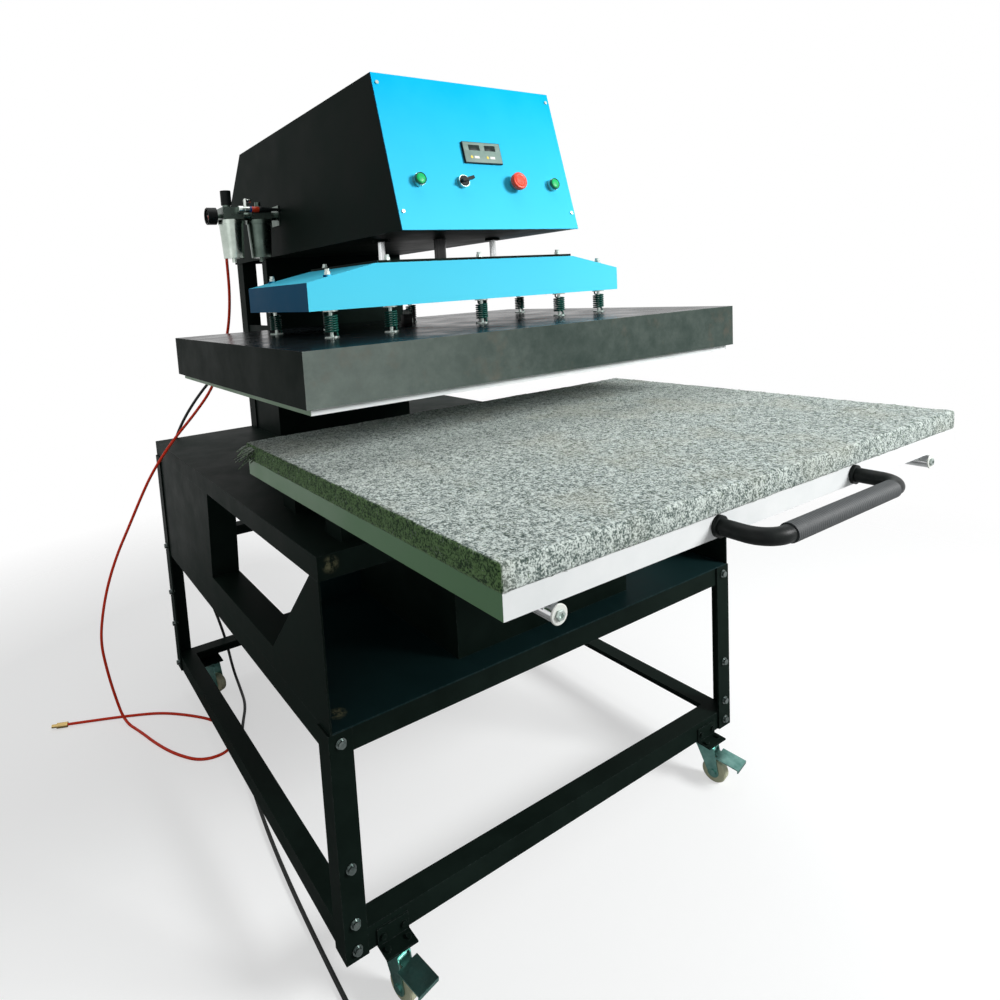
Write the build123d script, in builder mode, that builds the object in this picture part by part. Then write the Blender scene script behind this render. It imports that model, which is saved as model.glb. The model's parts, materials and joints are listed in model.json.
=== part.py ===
"""Large-format pneumatic heat press with a pull-out bed, on a stand with casters.

Millimetres. +X is to the operator's right, +Y to the back, +Z up. The origin is on the floor,
under the middle of the press without its hose and cable.
"""
from build123d import *
import math
import os

os.makedirs("parts", exist_ok=True)

# Heated platen and the press beam over it
platen_length = 1202.0
platen_depth = 902.0
press_plate_thickness = 20.0
platen_cover_margin = 13.0
platen_cover_height = 103.0
platen_cover_sheet = 2.0
platen_skirt_gap = 13.0
boss_radius = 15.0
board_clearance = 0.5
beam_length = 958.0
beam_depth = 382.0
beam_end_height = 62.0
beam_middle_height = 99.0
beam_flat_length = 614.0
beam_sheet = 3.0
beam_floor_thickness = 8.0
beam_top_plate_thickness = 6.0
beam_plate_inset = 5.0
spring_space = 61.0

# Springs and the bolts inside them
inner_spring_inset = 40.0
outer_spring_inset = 59.0
spring_row_offset = 172.0
spring_outer_radius = 15.5
spring_wire_radius = 2.0
spring_turns = 7
spring_lead_angle = 45.0
spring_lead_rise = 5.0
washer_thickness = 3.0
washer_radius = 16.5
bolt_radius = 4.0
bolt_clearance = 0.4
bolt_thread_depth = 30.0
bolt_nut_radius = 7.5
bolt_nut_height = 7.0
bolt_tip_height = 6.0
bolt_tip_radius = 5.5
seat_radius = 10.0
seat_margin = 4.0
seat_rise = 1.0

# Guide posts and air cylinder
post_spacing = 365.0
post_radius = 9.0
post_length_above_beam = 220.0
post_nut_radius = 12.0
post_nut_height = 8.0
rod_radius = 16.0
running_clearance = 0.05
press_stroke = 104.0
cylinder_bore_radius = 50.0
cylinder_wall = 6.0
cylinder_cap_thickness = 20.0
cylinder_cap_side = 118.0
piston_thickness = 20.0
piston_end_gap = 3.0
piston_clearance = 0.3
bush_radius = 14.0
bush_flange_radius = 21.0
bush_flange_thickness = 6.0
bush_length = 50.0
rod_flange_radius = 32.0
rod_flange_thickness = 8.0

# Bed that pulls out under the platen
bed_length = 1200.0
bed_depth = 900.0
bed_edge_height = 36.0
bed_skin = 8.0
bed_bar_width = 28.0
bed_pull_out = 518.0
pad_thickness = 38.0
pad_overhang = 3.0
pad_to_platen_gap = 105.0
shaft_radius = 12.5
shaft_spacing = 1020.0
shaft_end_inset = 5.0
shaft_support_thickness = 20.0
shaft_support_width = 24.0
front_support_setback = 15.0
shaft_drop = 20.0
shaft_rise = 60.0
bearing_length = 70.0
bearing_width = 60.0
bearing_roof = 5.0
rear_bearing_gap = 10.0
bearing_spread = 230.0
handle_reach = 80.0
handle_spacing = 390.0
handle_bend_radius = 38.0
handle_elbow_radius = 13.0
handle_base_radius = 17.0
handle_base_thickness = 6.0
grip_radius = 15.0
grip_length = 300.0

# Table and body
table_height = 943.0
table_width = 1220.0
table_front = 442.0
table_back = 940.0
table_sheet = 4.0
table_flange = 47.0
body_sheet = 4.0
window_back_top = 300.0
window_back_bottom = 327.0
window_front_bottom = -151.0
window_front_top = -400.0
window_sill = 54.0
window_return = 76.0
window_return_sheet = 3.0
shelf_sheet = 3.0
shelf_back = 87.0
housing_half_width = 270.0
housing_front = 377.0
housing_sheet = 3.0

# Stand
stand_side_margin = 5.0
stand_front_inset = 2.0
stand_back_inset = 5.0
angle_size = 50.0
angle_wall = 5.0
stand_top = 595.0
foot_height = 117.0
stand_bolt_head_radius = 8.0
stand_bolt_head_height = 6.0
stand_bolt_washer_radius = 11.0
stand_bolt_washer_thickness = 2.0
stand_bolt_radius = 4.0
stand_bolt_clearance = 0.3
front_bolt_heights = (573.0, 314.0, 197.0, 140.0)
back_bolt_heights = (573.0, 404.0, 287.0, 140.0)

# Casters
caster_side_inset = 107.0
caster_front_inset = 2.0
caster_back_inset = 35.0
caster_plate_thickness = 4.0
caster_plate_width = 72.0
caster_plate_depth = 72.0
caster_plate_height = 113.0
swivel_cup_radius = 27.0
swivel_cup_height = 12.0
swivel_gap = 0.3
kingpin_radius = 7.0
wheel_radius = 32.0
wheel_width = 26.0
wheel_trail = 24.0
fork_plate = 3.0
fork_gap = 1.5
fork_cheek_radius = 15.0
axle_radius = 5.0
axle_head_radius = 9.0
axle_head_height = 4.0
pedal_length = 80.0
pedal_width = 54.0
pedal_thickness = 3.0
pedal_slope = 8.0
pedal_pin_along = 18.0
pedal_pin_height = 86.0
pedal_pin_radius = 3.0
pedal_barrel_radius = 5.5
pedal_tongue_width = 24.0
pedal_tongue_length = 18.0
pedal_lip = 8.0
fork_crown = 4.0
crown_back = 22.0
crown_front = 27.0
wheel_chamfer = 3.0
kingpin_head = 3.0
kingpin_head_radius = 11.0
caster_tab_height = 36.0
caster_bolt_spacing = 48.0
caster_bolt_height = 5.0
caster_bolt_radius = 6.0
caster_bolt_inset = 17.0
front_caster_turn = -78.0
back_caster_turn = -60.0

# Column behind the platen
column_half_width = 264.0
post_tube_width = 50.0
post_tube_depth = 60.0
post_tube_front = 880.0
post_tube_reach = 198.0
post_tube_wall = 4.0
front_plate_distance = 650.0
front_plate_sheet = 8.0
front_plate_return = 40.0
front_plate_half_width = 259.0
gusset_sheet = 6.0
gusset_height = 380.0
gland_radius = 12.0
gland_length = 22.0
gland_height = 255.0
gland_back = 912.0

# Head over the beam
head_half_width = 268.8
head_to_beam_gap = 61.0
head_height = 364.0
head_sheet = 2.0
panel_foot_distance = 252.8
panel_top_distance = 154.0
head_back_top = 791.5
head_back = 945.0
head_slant_drop = 161.0
head_flange = 20.0
panel_sheet = 3.0
floor_gap_margin = 10.0
arm_beam_width = 40.0
arm_beam_height = 120.0
arm_beam_lift = 60.0
arm_beam_wall = 5.0
rod_hole_radius = 20.0
arm_beam_front = 150.0
arm_beam_gap = 4.0
arm_plate_thickness = 14.0
arm_plate_half_depth = 150.0
arm_rib_thickness = 20.0
arm_rib_half_width = 246.0

# Controls on the slanted panel, measured down the slope from its top edge
control_row = 260.0
button_offset = 205.0
inner_control_offset = 80.5
switch_shift = 4.0
controller_row = 184.0
controller_width = 114.0
controller_height = 54.0
controller_bezel = 6.0
controller_depth = 70.0
controller_body_margin = 5.0
display_width = 33.0
display_height = 14.0
display_offset = 24.0
display_rise = 12.0
display_depth = 1.5
key_side_shift = 12.0
key_drop = 12.5
key_radius = 3.6
key_stand = 1.4
key_depth = 3.2
key_travel = 1.0
key_clearance = 0.1
key_floor_gap = 0.3
switch_barrel_radius = 11.0
switch_barrel_depth = 42.0
switch_ring_radius = 15.0
switch_ring_height = 10.0
switch_bore_radius = 12.3
switch_bore_depth = 8.0
button_radius = 12.0
button_stand = 5.0
button_length = 8.5
selector_radius = 12.0
selector_length = 10.0
selector_floor_gap = 0.3
lever_shift = 6.0
lever_length = 36.0
lever_width = 7.0
lever_height = 9.0
lever_turn = 75.0
stop_stem_depth = 8.0
stop_gap = 4.5
stop_head_radius = 22.0
stop_head_height = 11.0
stop_head_round = 4.0
screw_side_inset = 12.0
screw_top_inset = 24.5
screw_foot_inset = 43.0
screw_head_radius = 4.5
screw_head_height = 2.4
screw_radius = 2.0
screw_hole_radius = 2.3
screw_length = 12.0

# Air filter, regulator, oiler and gauge on the head's left side
air_row = 500.0
filter_side = 411.0
oiler_side = 325.0
air_body_lift = 108.0
air_body_height = 36.0
air_port_rise = 12.0
air_body_side = 62.0
bowl_radius = 36.0
bowl_rim_radius = 39.0
bowl_rim_height = 12.0
bowl_length = 101.0
bowl_taper = 6.0
drain_radius = 7.0
drain_length = 12.0
knob_side_shift = 10.0
knob_radius = 15.5
knob_length = 42.0
knob_neck_radius = 12.0
knob_neck_length = 8.0
knob_gap = 0.3
gauge_radius = 25.0
gauge_length = 26.0
gauge_wall = 2.0
gauge_face_depth = 6.0
gauge_stub_radius = 6.0
gauge_stub_length = 14.0
needle_length = 17.0
needle_width = 2.0
needle_thickness = 0.8
needle_hub_radius = 3.0
needle_pin_radius = 1.0
bracket_sheet = 3.0
bracket_height = 60.0
elbow_drop = 26.0
elbow_reach = 18.0
elbow_radius = 8.0
elbow_offset = 9.0
nipple_radius = 12.0
spindle_radius = 6.0
spindle_length = 16.0
sight_dome_radius = 9.0
sight_dome_height = 18.0
needle_lift = 1.4
needle_pin_depth = 5.0
needle_pin_clearance = 0.05
needle_hub_length = 1.6

# Air hose and power cable
hose_radius = 4.5
cable_radius = 5.0
hose_drop = 104.0
cable_lead_length = 26.0
floor_clearance = 0.6
connector_radius = 9.0
connector_length = 34.0
connector_tip_radius = 6.0
connector_tip_length = 16.0
coil_outer_radius = 66.0
coil_pitch = 10.8
coil_loops = 2
coil_step = 0.001
tail_length = 60.0
plug_neck_radius = 8.0
plug_neck_length = 16.0
plug_body_length = 38.0
plug_pin_radius = 2.4
plug_pin_length = 19.0
plug_pin_spacing = 19.0

# Places worked out from the sizes above
grip_front_reach = bed_depth / 2 + bed_pull_out + handle_reach + grip_radius
platen_y = (grip_front_reach - head_back) / 2
cover_length = platen_length + 2 * platen_cover_margin
cover_depth = platen_depth + 2 * platen_cover_margin
shaft_height = table_height + shaft_rise
bed_foot = shaft_height + shaft_drop
bed_top = bed_foot + bed_edge_height
bed_middle_height = (bed_foot + bed_top) / 2
pad_top = bed_top + pad_thickness
platen_underside_height = pad_top + pad_to_platen_gap
press_plate_top = platen_underside_height + press_plate_thickness
cover_foot = platen_underside_height + platen_skirt_gap
cover_top = cover_foot + platen_cover_height
cover_ceiling = cover_top - platen_cover_sheet
beam_foot = cover_top + spring_space
beam_shoulder = beam_foot + beam_end_height
beam_top = beam_foot + beam_middle_height
beam_plate_top = beam_top + beam_top_plate_thickness
bed_y = platen_y - bed_pull_out
bed_front_y = bed_y - bed_depth / 2
bed_back_y = bed_y + bed_depth / 2
head_floor = beam_plate_top + head_to_beam_gap
head_top = head_floor + head_height
head_floor_y = platen_y - panel_foot_distance
head_top_y = platen_y - panel_top_distance
head_back_y = platen_y + head_back
slope_run = panel_foot_distance - panel_top_distance
slope_rise = head_top - head_floor
panel_length = math.hypot(slope_run, slope_rise)
slope_y = slope_run / panel_length
slope_z = slope_rise / panel_length
panel_plane = Plane(
    origin=(0, head_top_y, head_top), x_dir=(1, 0, 0), z_dir=(0, -slope_z, slope_y)
)
inner_spring_x = beam_flat_length / 2 - inner_spring_inset
outer_spring_x = beam_length / 2 - outer_spring_inset
spring_places = (-outer_spring_x, -inner_spring_x, 0, inner_spring_x, outer_spring_x)
spring_grid = [(x, platen_y + side * spring_row_offset) for side in (-1, 1) for x in spring_places]
post_grid = [(side * post_spacing / 2, platen_y) for side in (-1, 1)]
table_front_y = platen_y - table_front
table_back_y = platen_y + table_back
stand_width = table_width + 2 * stand_side_margin
stand_front_y = table_front_y + stand_front_inset
stand_back_y = table_back_y - stand_back_inset
caster_x = stand_width / 2 - caster_side_inset
caster_front_y = stand_front_y + caster_front_inset
caster_back_y = stand_back_y - caster_back_inset
table_foot = table_height - table_flange
air_y = platen_y + air_row
air_body_base = head_floor + air_body_lift
air_body_top = air_body_base + air_body_height
arm_plate_foot = head_floor + head_sheet
arm_plate_top = arm_plate_foot + arm_plate_thickness
arm_beam_foot = head_floor + arm_beam_lift
arm_beam_outer = head_half_width - head_sheet - arm_beam_gap
column_front_y = platen_y + post_tube_front
front_plate_y = platen_y + front_plate_distance


def save(part, name):
    """Label a finished piece and write it to its own file."""
    part.label = name
    export_step(part, "parts/" + name + ".step")


def block(low, high, mode=Mode.ADD):
    """A block between two opposite corners."""
    middle = [(a + b) / 2 for a, b in zip(low, high)]
    size = [abs(b - a) for a, b in zip(low, high)]
    with Locations(tuple(middle)):
        Box(*size, mode=mode)


def disc(x, y, low, high, radius, mode=Mode.ADD):
    """An upright round bar or hole between two heights."""
    with Locations((x, y, (low + high) / 2)):
        Cylinder(radius, high - low, mode=mode)


def panel_disc(across, down, low, high, radius, mode=Mode.ADD):
    """A round bar or hole square to the control panel."""
    with Locations(panel_plane):
        with Locations((across, -down, (low + high) / 2)):
            Cylinder(radius, high - low, mode=mode)


def panel_block(across, down, width, height, low, high, mode=Mode.ADD):
    """A block square to the control panel."""
    with Locations(panel_plane):
        with Locations((across, -down, (low + high) / 2)):
            Box(width, height, high - low, mode=mode)


def lengthwise_bar(x, z, front, back, radius, mode=Mode.ADD):
    """A round bar or hole that runs from front to back."""
    with Locations((x, (front + back) / 2, z)):
        Cylinder(radius, back - front, rotation=(90, 0, 0), mode=mode)


def crosswise_bar(left, right, y, z, radius, mode=Mode.ADD):
    """A round bar or hole that runs from left to right."""
    with Locations(((left + right) / 2, y, z)):
        Cylinder(radius, right - left, rotation=(0, 90, 0), mode=mode)


def angle_bar(size, wall, length, plane):
    """A length of angle section whose outer corner lies on the plane's origin."""
    with BuildSketch(plane) as section:
        with BuildLine():
            Polyline((0, 0), (size, 0), (size, wall), (wall, wall), (wall, size), (0, size), close=True)
        make_face()
    extrude(section.sketch, amount=length)


def side_profile(points, half_width, mode=Mode.ADD):
    """An outline in the side view, given as distances and heights, spread to both sides."""
    with BuildSketch(Plane.YZ) as outline:
        with BuildLine():
            Polyline(*points, close=True)
        make_face()
    extrude(outline.sketch, amount=half_width, both=True, mode=mode)


def front_profile(points, half_depth, mode=Mode.ADD):
    """An outline in the front view, spread to the front and back of the platen's middle."""
    with BuildSketch(Plane.XZ.offset(-platen_y)) as outline:
        with BuildLine():
            Polyline(*points, close=True)
        make_face()
    extrude(outline.sketch, amount=half_depth, both=True, mode=mode)


def arc_pair(start, start_way, end, end_way):
    """Two tangent arcs that leave one point and reach the next, each in its own direction."""
    gap = end - start
    ways = start_way + end_way
    turn = 1 - start_way.dot(end_way)
    along = gap.dot(ways)
    reach = (math.sqrt(along * along + 2 * turn * gap.dot(gap)) - along) / (2 * turn)
    join = (start + end + (start_way - end_way) * reach) * 0.5
    first = TangentArc(start, join, tangent=start_way)
    TangentArc(join, end, tangent=first % 1)


def arcs_through(places, ways):
    """Arc pairs along a curve that is known at a few points."""
    for index in range(len(places) - 1):
        arc_pair(places[index], ways[index], places[index + 1], ways[index + 1])


def own_gap(wire, radius, samples, skip_length):
    """The least distance between stretches of one tube that aren't next to each other."""
    places = [wire @ (index / samples) for index in range(samples + 1)]
    skip = int(math.ceil(skip_length / wire.length * samples))
    least = min(
        (places[i] - places[j]).length
        for i in range(len(places))
        for j in range(i + skip, len(places))
    )
    return least - 2 * radius


def bend_radii(points):
    """The largest arc that fits at each inner point of a route."""
    radii = []
    for index in range(1, len(points) - 1):
        before = points[index] - points[index - 1]
        after = points[index + 1] - points[index]
        turn = math.acos(min(1.0, before.normalized().dot(after.normalized())))
        radii.append(0.45 * min(before.length, after.length) / math.tan(turn / 2))
    return radii


# Stand legs, four lengths of angle with their corners outwards, the back pair reaching the table
with BuildPart() as stand_legs:
    for side_x in (-1, 1):
        for side_y, corner_y, leg_top in ((1, stand_front_y, stand_top), (-1, stand_back_y, table_foot)):
            corner = Plane(
                origin=(side_x * stand_width / 2, corner_y, foot_height),
                x_dir=(-side_x, 0, 0) if side_x * side_y < 0 else (0, side_y, 0),
                z_dir=(0, 0, 1),
            )
            angle_bar(angle_size, angle_wall, leg_top - foot_height, corner)

# Stand rails, an upper and a lower ring of angle inside the legs
rail_half_width = stand_width / 2 - angle_wall
rail_front_y = stand_front_y + angle_wall
rail_back_y = stand_back_y - angle_wall
lower_rail_top = foot_height + angle_size
with BuildPart() as stand_rails:
    for rail_top in (lower_rail_top, stand_top):
        for side_x in (-1, 1):
            rail_start = (
                side_x * rail_half_width,
                rail_front_y + angle_wall if side_x < 0 else rail_back_y - angle_wall,
                rail_top,
            )
            angle_bar(
                angle_size,
                angle_wall,
                rail_back_y - rail_front_y - 2 * angle_wall,
                Plane(origin=rail_start, x_dir=(-side_x, 0, 0), z_dir=(0, -side_x, 0)),
            )
        for side_y, rail_y in ((1, rail_front_y), (-1, rail_back_y)):
            angle_bar(
                angle_size,
                angle_wall,
                2 * rail_half_width,
                Plane(
                    origin=(side_y * rail_half_width, rail_y, rail_top),
                    x_dir=(0, side_y, 0),
                    z_dir=(-side_y, 0, 0),
                ),
            )

# Bolts that hold the legs to the rails, with their holes
bolt_spots = []
for side_x in (-1, 1):
    leg_middle = side_x * (stand_width / 2 - angle_size / 2)
    for height in front_bolt_heights:
        bolt_spots.append(((leg_middle, stand_front_y, height), (0, -1, 0)))
    for height in back_bolt_heights:
        bolt_spots.append(((side_x * stand_width / 2, stand_back_y - angle_size / 2, height), (side_x, 0, 0)))


def stand_bolts(radius, depth, mode):
    """Round bars or holes into the stand at each bolt."""
    for place, outward in bolt_spots:
        with Locations(Plane(origin=place, z_dir=outward)):
            with Locations((0, 0, -depth / 2)):
                Cylinder(radius, depth, mode=mode)


with stand_legs:
    stand_bolts(stand_bolt_radius + stand_bolt_clearance, angle_wall + 1, Mode.SUBTRACT)
with stand_rails:
    stand_bolts(stand_bolt_radius + stand_bolt_clearance, 2 * angle_wall + 1, Mode.SUBTRACT)
with BuildPart() as frame_bolts:
    for place, outward in bolt_spots:
        with Locations(Plane(origin=place, z_dir=outward)):
            with Locations((0, 0, stand_bolt_washer_thickness / 2)):
                Cylinder(stand_bolt_washer_radius, stand_bolt_washer_thickness)
            with Locations((0, 0, stand_bolt_washer_thickness + stand_bolt_head_height / 2)):
                Cylinder(stand_bolt_head_radius, stand_bolt_head_height)
    stand_bolts(stand_bolt_radius, 2 * angle_wall, Mode.ADD)
save(stand_legs.part, "stand_legs")
save(stand_rails.part, "stand_rails")
save(frame_bolts.part, "frame_bolts")

# Shelf on the upper rails
side_inner = table_width / 2 - body_sheet
shelf_top = stand_top + shelf_sheet
with BuildPart() as shelf_plate:
    block((-side_inner, stand_front_y, stand_top), (side_inner, platen_y + shelf_back, shelf_top))
save(shelf_plate.part, "shelf_plate")

# Side frames, each with a slanted window whose back and lower edges turn inwards
window_foot = stand_top + window_sill
window = [
    (platen_y + window_front_bottom, window_foot),
    (platen_y + window_back_bottom, window_foot),
    (platen_y + window_back_top, table_foot),
    (platen_y + window_front_top, table_foot),
]
for side_x, side_name in ((-1, "side_frame_left"), (1, "side_frame_right")):
    with BuildPart() as side_frame:
        outer_face = side_x * table_width / 2
        inner_face = side_x * side_inner
        return_face = side_x * (table_width / 2 - window_return)
        block((outer_face, stand_front_y, stand_top), (inner_face, stand_back_y - angle_wall, table_foot))
        with BuildSketch(Plane.YZ.offset(min(outer_face, inner_face))) as opening:
            with BuildLine():
                Polyline(*window, close=True)
            make_face()
        extrude(opening.sketch, amount=body_sheet, mode=Mode.SUBTRACT)
        with BuildSketch(Plane.YZ.offset(min(inner_face, return_face))) as lip:
            with BuildLine():
                Polyline(
                    (window[0][0], window_foot),
                    (window[1][0], window_foot),
                    (window[2][0], table_foot),
                    (window[2][0] + window_return_sheet, table_foot),
                    (window[1][0] + window_return_sheet, window_foot - window_return_sheet),
                    (window[0][0], window_foot - window_return_sheet),
                    close=True,
                )
            make_face()
        extrude(lip.sketch, amount=window_return - body_sheet)
    save(side_frame.part, side_name)

# Housing in the middle under the table
with BuildPart() as base_housing:
    housing_corner = (housing_half_width, platen_y + shelf_back, table_height - table_sheet)
    block((-housing_half_width, platen_y - housing_front, shelf_top), housing_corner)
    block(
        (-housing_half_width + housing_sheet, platen_y - housing_front + housing_sheet, shelf_top),
        (housing_half_width - housing_sheet, platen_y + shelf_back - housing_sheet, housing_corner[2]),
        Mode.SUBTRACT,
    )
save(base_housing.part, "base_housing")

# Table top with its edge turned down
with BuildPart() as table_top:
    block((-table_width / 2, table_front_y, table_foot), (table_width / 2, table_back_y, table_height))
    block(
        (-side_inner, table_front_y + table_sheet, table_foot),
        (side_inner, table_back_y - table_sheet, table_height - table_sheet),
        Mode.SUBTRACT,
    )
save(table_top.part, "table_top")

# Column, two square posts, a web plate in front of them and side gussets
with BuildPart() as column_frame:
    post_back_y = column_front_y + post_tube_depth
    arm_beam_end_top = arm_beam_foot + arm_beam_height
    for side_x in (-1, 1):
        outer_x = side_x * column_half_width
        inner_x = side_x * (column_half_width - post_tube_width)
        tube_top = head_floor + post_tube_reach
        block((outer_x, column_front_y, table_height), (inner_x, post_back_y, tube_top))
        block(
            (outer_x - side_x * post_tube_wall, column_front_y + post_tube_wall, table_height),
            (inner_x + side_x * post_tube_wall, post_back_y - post_tube_wall, tube_top - post_tube_wall),
            Mode.SUBTRACT,
        )
        web_edge = side_x * front_plate_half_width
        block(
            (web_edge, front_plate_y, table_height),
            (web_edge - side_x * front_plate_sheet, front_plate_y + front_plate_return, arm_beam_foot),
        )
        block(
            (web_edge - side_x * gusset_sheet, front_plate_y + front_plate_return, table_height),
            (web_edge, column_front_y, table_height + gusset_height),
        )
    block(
        (-front_plate_half_width, front_plate_y, table_height),
        (front_plate_half_width, front_plate_y + front_plate_sheet, arm_beam_foot),
    )
    gland_z = table_height + gland_height
    crosswise_bar(-column_half_width - gland_length, -column_half_width, platen_y + gland_back, gland_z, gland_radius)
save(column_frame.part, "column_frame")

# Arm inside the head, two square beams with a plate that carries the cylinder
with BuildPart() as arm_frame:
    for side_x in (-1, 1):
        beam_inner = side_x * (arm_beam_outer - arm_beam_width)
        block(
            (side_x * arm_beam_outer, platen_y - arm_beam_front, arm_beam_foot),
            (beam_inner, column_front_y, arm_beam_end_top),
        )
        block(
            (side_x * (arm_beam_outer - arm_beam_wall), platen_y - arm_beam_front, arm_beam_foot + arm_beam_wall),
            (beam_inner + side_x * arm_beam_wall, column_front_y, arm_beam_end_top - arm_beam_wall),
            Mode.SUBTRACT,
        )
        block(
            (side_x * arm_rib_half_width, platen_y - arm_plate_half_depth, arm_plate_top),
            (side_x * (arm_rib_half_width - arm_rib_thickness), platen_y + arm_plate_half_depth, arm_beam_foot),
        )
    block(
        (-arm_rib_half_width, platen_y - arm_plate_half_depth, arm_plate_foot),
        (arm_rib_half_width, platen_y + arm_plate_half_depth, arm_plate_top),
    )
    disc(0, platen_y, arm_plate_foot, arm_plate_top, rod_hole_radius, Mode.SUBTRACT)
    for x, y in post_grid:
        disc(x, y, arm_plate_foot, arm_plate_top, bush_radius, Mode.SUBTRACT)
save(arm_frame.part, "arm_frame")

# Head cover, a sheet box with an open slanted front that has a narrow flange all round
front_shift = panel_sheet / slope_z
wall_shift = head_sheet / slope_z
cover_side = [
    (head_floor_y + front_shift, head_floor),
    (head_back_y, head_floor),
    (head_back_y, head_top - head_slant_drop),
    (platen_y + head_back_top, head_top),
    (head_top_y + front_shift, head_top),
]
cover_hollow = [
    (head_floor_y + front_shift + wall_shift, head_floor + head_sheet),
    (head_back_y - head_sheet, head_floor + head_sheet),
    (head_back_y - head_sheet, head_top - head_slant_drop - head_sheet),
    (platen_y + head_back_top - head_sheet, head_top - head_sheet),
    (head_top_y + front_shift + wall_shift, head_top - head_sheet),
]
flange_middle = panel_length / 2
flange_depth = panel_sheet + head_sheet + 1
with BuildPart() as head_cover:
    side_profile(cover_side, head_half_width)
    side_profile(cover_hollow, head_half_width - head_sheet, Mode.SUBTRACT)
    panel_block(
        0, flange_middle, 2 * (head_half_width - head_flange), panel_length - 2 * head_flange,
        -flange_depth, 0, Mode.SUBTRACT,
    )
    floor_gap_front = front_plate_y - floor_gap_margin
    block(
        (-head_half_width + head_sheet, floor_gap_front, head_floor),
        (head_half_width - head_sheet, head_back_y - head_sheet, head_floor + head_sheet),
        Mode.SUBTRACT,
    )
    disc(0, platen_y, head_floor, head_floor + head_sheet, rod_hole_radius, Mode.SUBTRACT)
    for x, y in post_grid:
        disc(x, y, head_floor, head_floor + head_sheet, bush_radius, Mode.SUBTRACT)

# Control panel, its openings and its screws
screw_across = head_half_width - screw_side_inset
screw_spots = [
    (side * screw_across, down)
    for side in (-1, 1)
    for down in (screw_top_inset, panel_length - screw_foot_inset)
]
switch_spots = {
    "left": (switch_shift - button_offset, control_row),
    "selector": (switch_shift - inner_control_offset, control_row),
    "stop": (switch_shift + inner_control_offset, control_row),
    "right": (switch_shift + button_offset, control_row),
}
body_width = controller_width - 2 * controller_body_margin
body_height = controller_height - 2 * controller_body_margin
with BuildPart() as control_panel:
    panel_block(0, flange_middle, 2 * head_half_width, panel_length, -panel_sheet, 0)
    for across, down in screw_spots:
        panel_disc(across, down, -panel_sheet, 0, screw_hole_radius, Mode.SUBTRACT)
    for across, down in switch_spots.values():
        panel_disc(across, down, -panel_sheet, 0, switch_barrel_radius, Mode.SUBTRACT)
    panel_block(0, controller_row, body_width, body_height, -panel_sheet, 0, Mode.SUBTRACT)
save(control_panel.part, "control_panel")
with head_cover:
    for across, down in screw_spots:
        panel_disc(across, down, -flange_depth, 0, screw_hole_radius, Mode.SUBTRACT)
save(head_cover.part, "head_cover")
with BuildPart() as panel_screws:
    for across, down in screw_spots:
        panel_disc(across, down, 0, screw_head_height, screw_head_radius)
        panel_disc(across, down, -screw_length, 0, screw_radius)
save(panel_screws.part, "panel_screws")

# Controller with two keys
key_spots = {
    "temperature_key": -display_offset - key_side_shift,
    "time_key": display_offset - key_side_shift,
}
with BuildPart() as controller_housing:
    panel_block(0, controller_row, body_width, body_height, -controller_depth, 0)
    panel_block(0, controller_row, controller_width, controller_height, 0, controller_bezel)
    for across in (-display_offset, display_offset):
        panel_block(
            across, controller_row - display_rise, display_width, display_height,
            controller_bezel - display_depth, controller_bezel, Mode.SUBTRACT,
        )
    for across in key_spots.values():
        panel_disc(
            across, controller_row + key_drop,
            controller_bezel - key_depth - key_travel - key_floor_gap, controller_bezel,
            key_radius + key_clearance, Mode.SUBTRACT,
        )
save(controller_housing.part, "controller_housing")
for key_name, across in key_spots.items():
    with BuildPart() as key:
        panel_disc(across, controller_row + key_drop, controller_bezel - key_depth, controller_bezel + key_stand, key_radius)
    save(key.part, key_name)

# Switch barrels with their raised rings
with BuildPart() as switch_barrels:
    switch_bore_floor = switch_ring_height - switch_bore_depth
    for across, down in switch_spots.values():
        panel_disc(across, down, -switch_barrel_depth, 0, switch_barrel_radius)
        panel_disc(across, down, 0, switch_ring_height, switch_ring_radius)
        panel_disc(across, down, switch_bore_floor, switch_ring_height, switch_bore_radius, Mode.SUBTRACT)
save(switch_barrels.part, "switch_barrels")
for button_name, spot in (("start_button_left", "left"), ("start_button_right", "right")):
    with BuildPart() as start_button:
        across, down = switch_spots[spot]
        button_top = switch_ring_height + button_stand
        panel_disc(across, down, button_top - button_length, button_top, button_radius)
    save(start_button.part, button_name)
with BuildPart() as selector_lever:
    across, down = switch_spots["selector"]
    selector_foot = switch_bore_floor + selector_floor_gap
    selector_top = selector_foot + selector_length
    panel_disc(across, down, selector_foot, selector_top, selector_radius)
    with Locations(panel_plane):
        with Locations((across, -down, selector_top + lever_height / 2)):
            with Locations(Rotation(0, 0, -lever_turn)):
                with Locations((0, lever_shift, 0)):
                    Box(lever_width, lever_length, lever_height)
save(selector_lever.part, "selector_lever")
with BuildPart() as estop_head:
    across, down = switch_spots["stop"]
    stop_foot = switch_ring_height + stop_gap
    panel_disc(across, down, stop_foot - stop_stem_depth, stop_foot, switch_bore_radius - running_clearance)
    panel_disc(across, down, stop_foot, stop_foot + stop_head_height, stop_head_radius)
    crown = estop_head.faces().sort_by(Axis(panel_plane.origin, panel_plane.z_dir))[-1]
    fillet(crown.edges(), stop_head_round)
save(estop_head.part, "estop_head")

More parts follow.
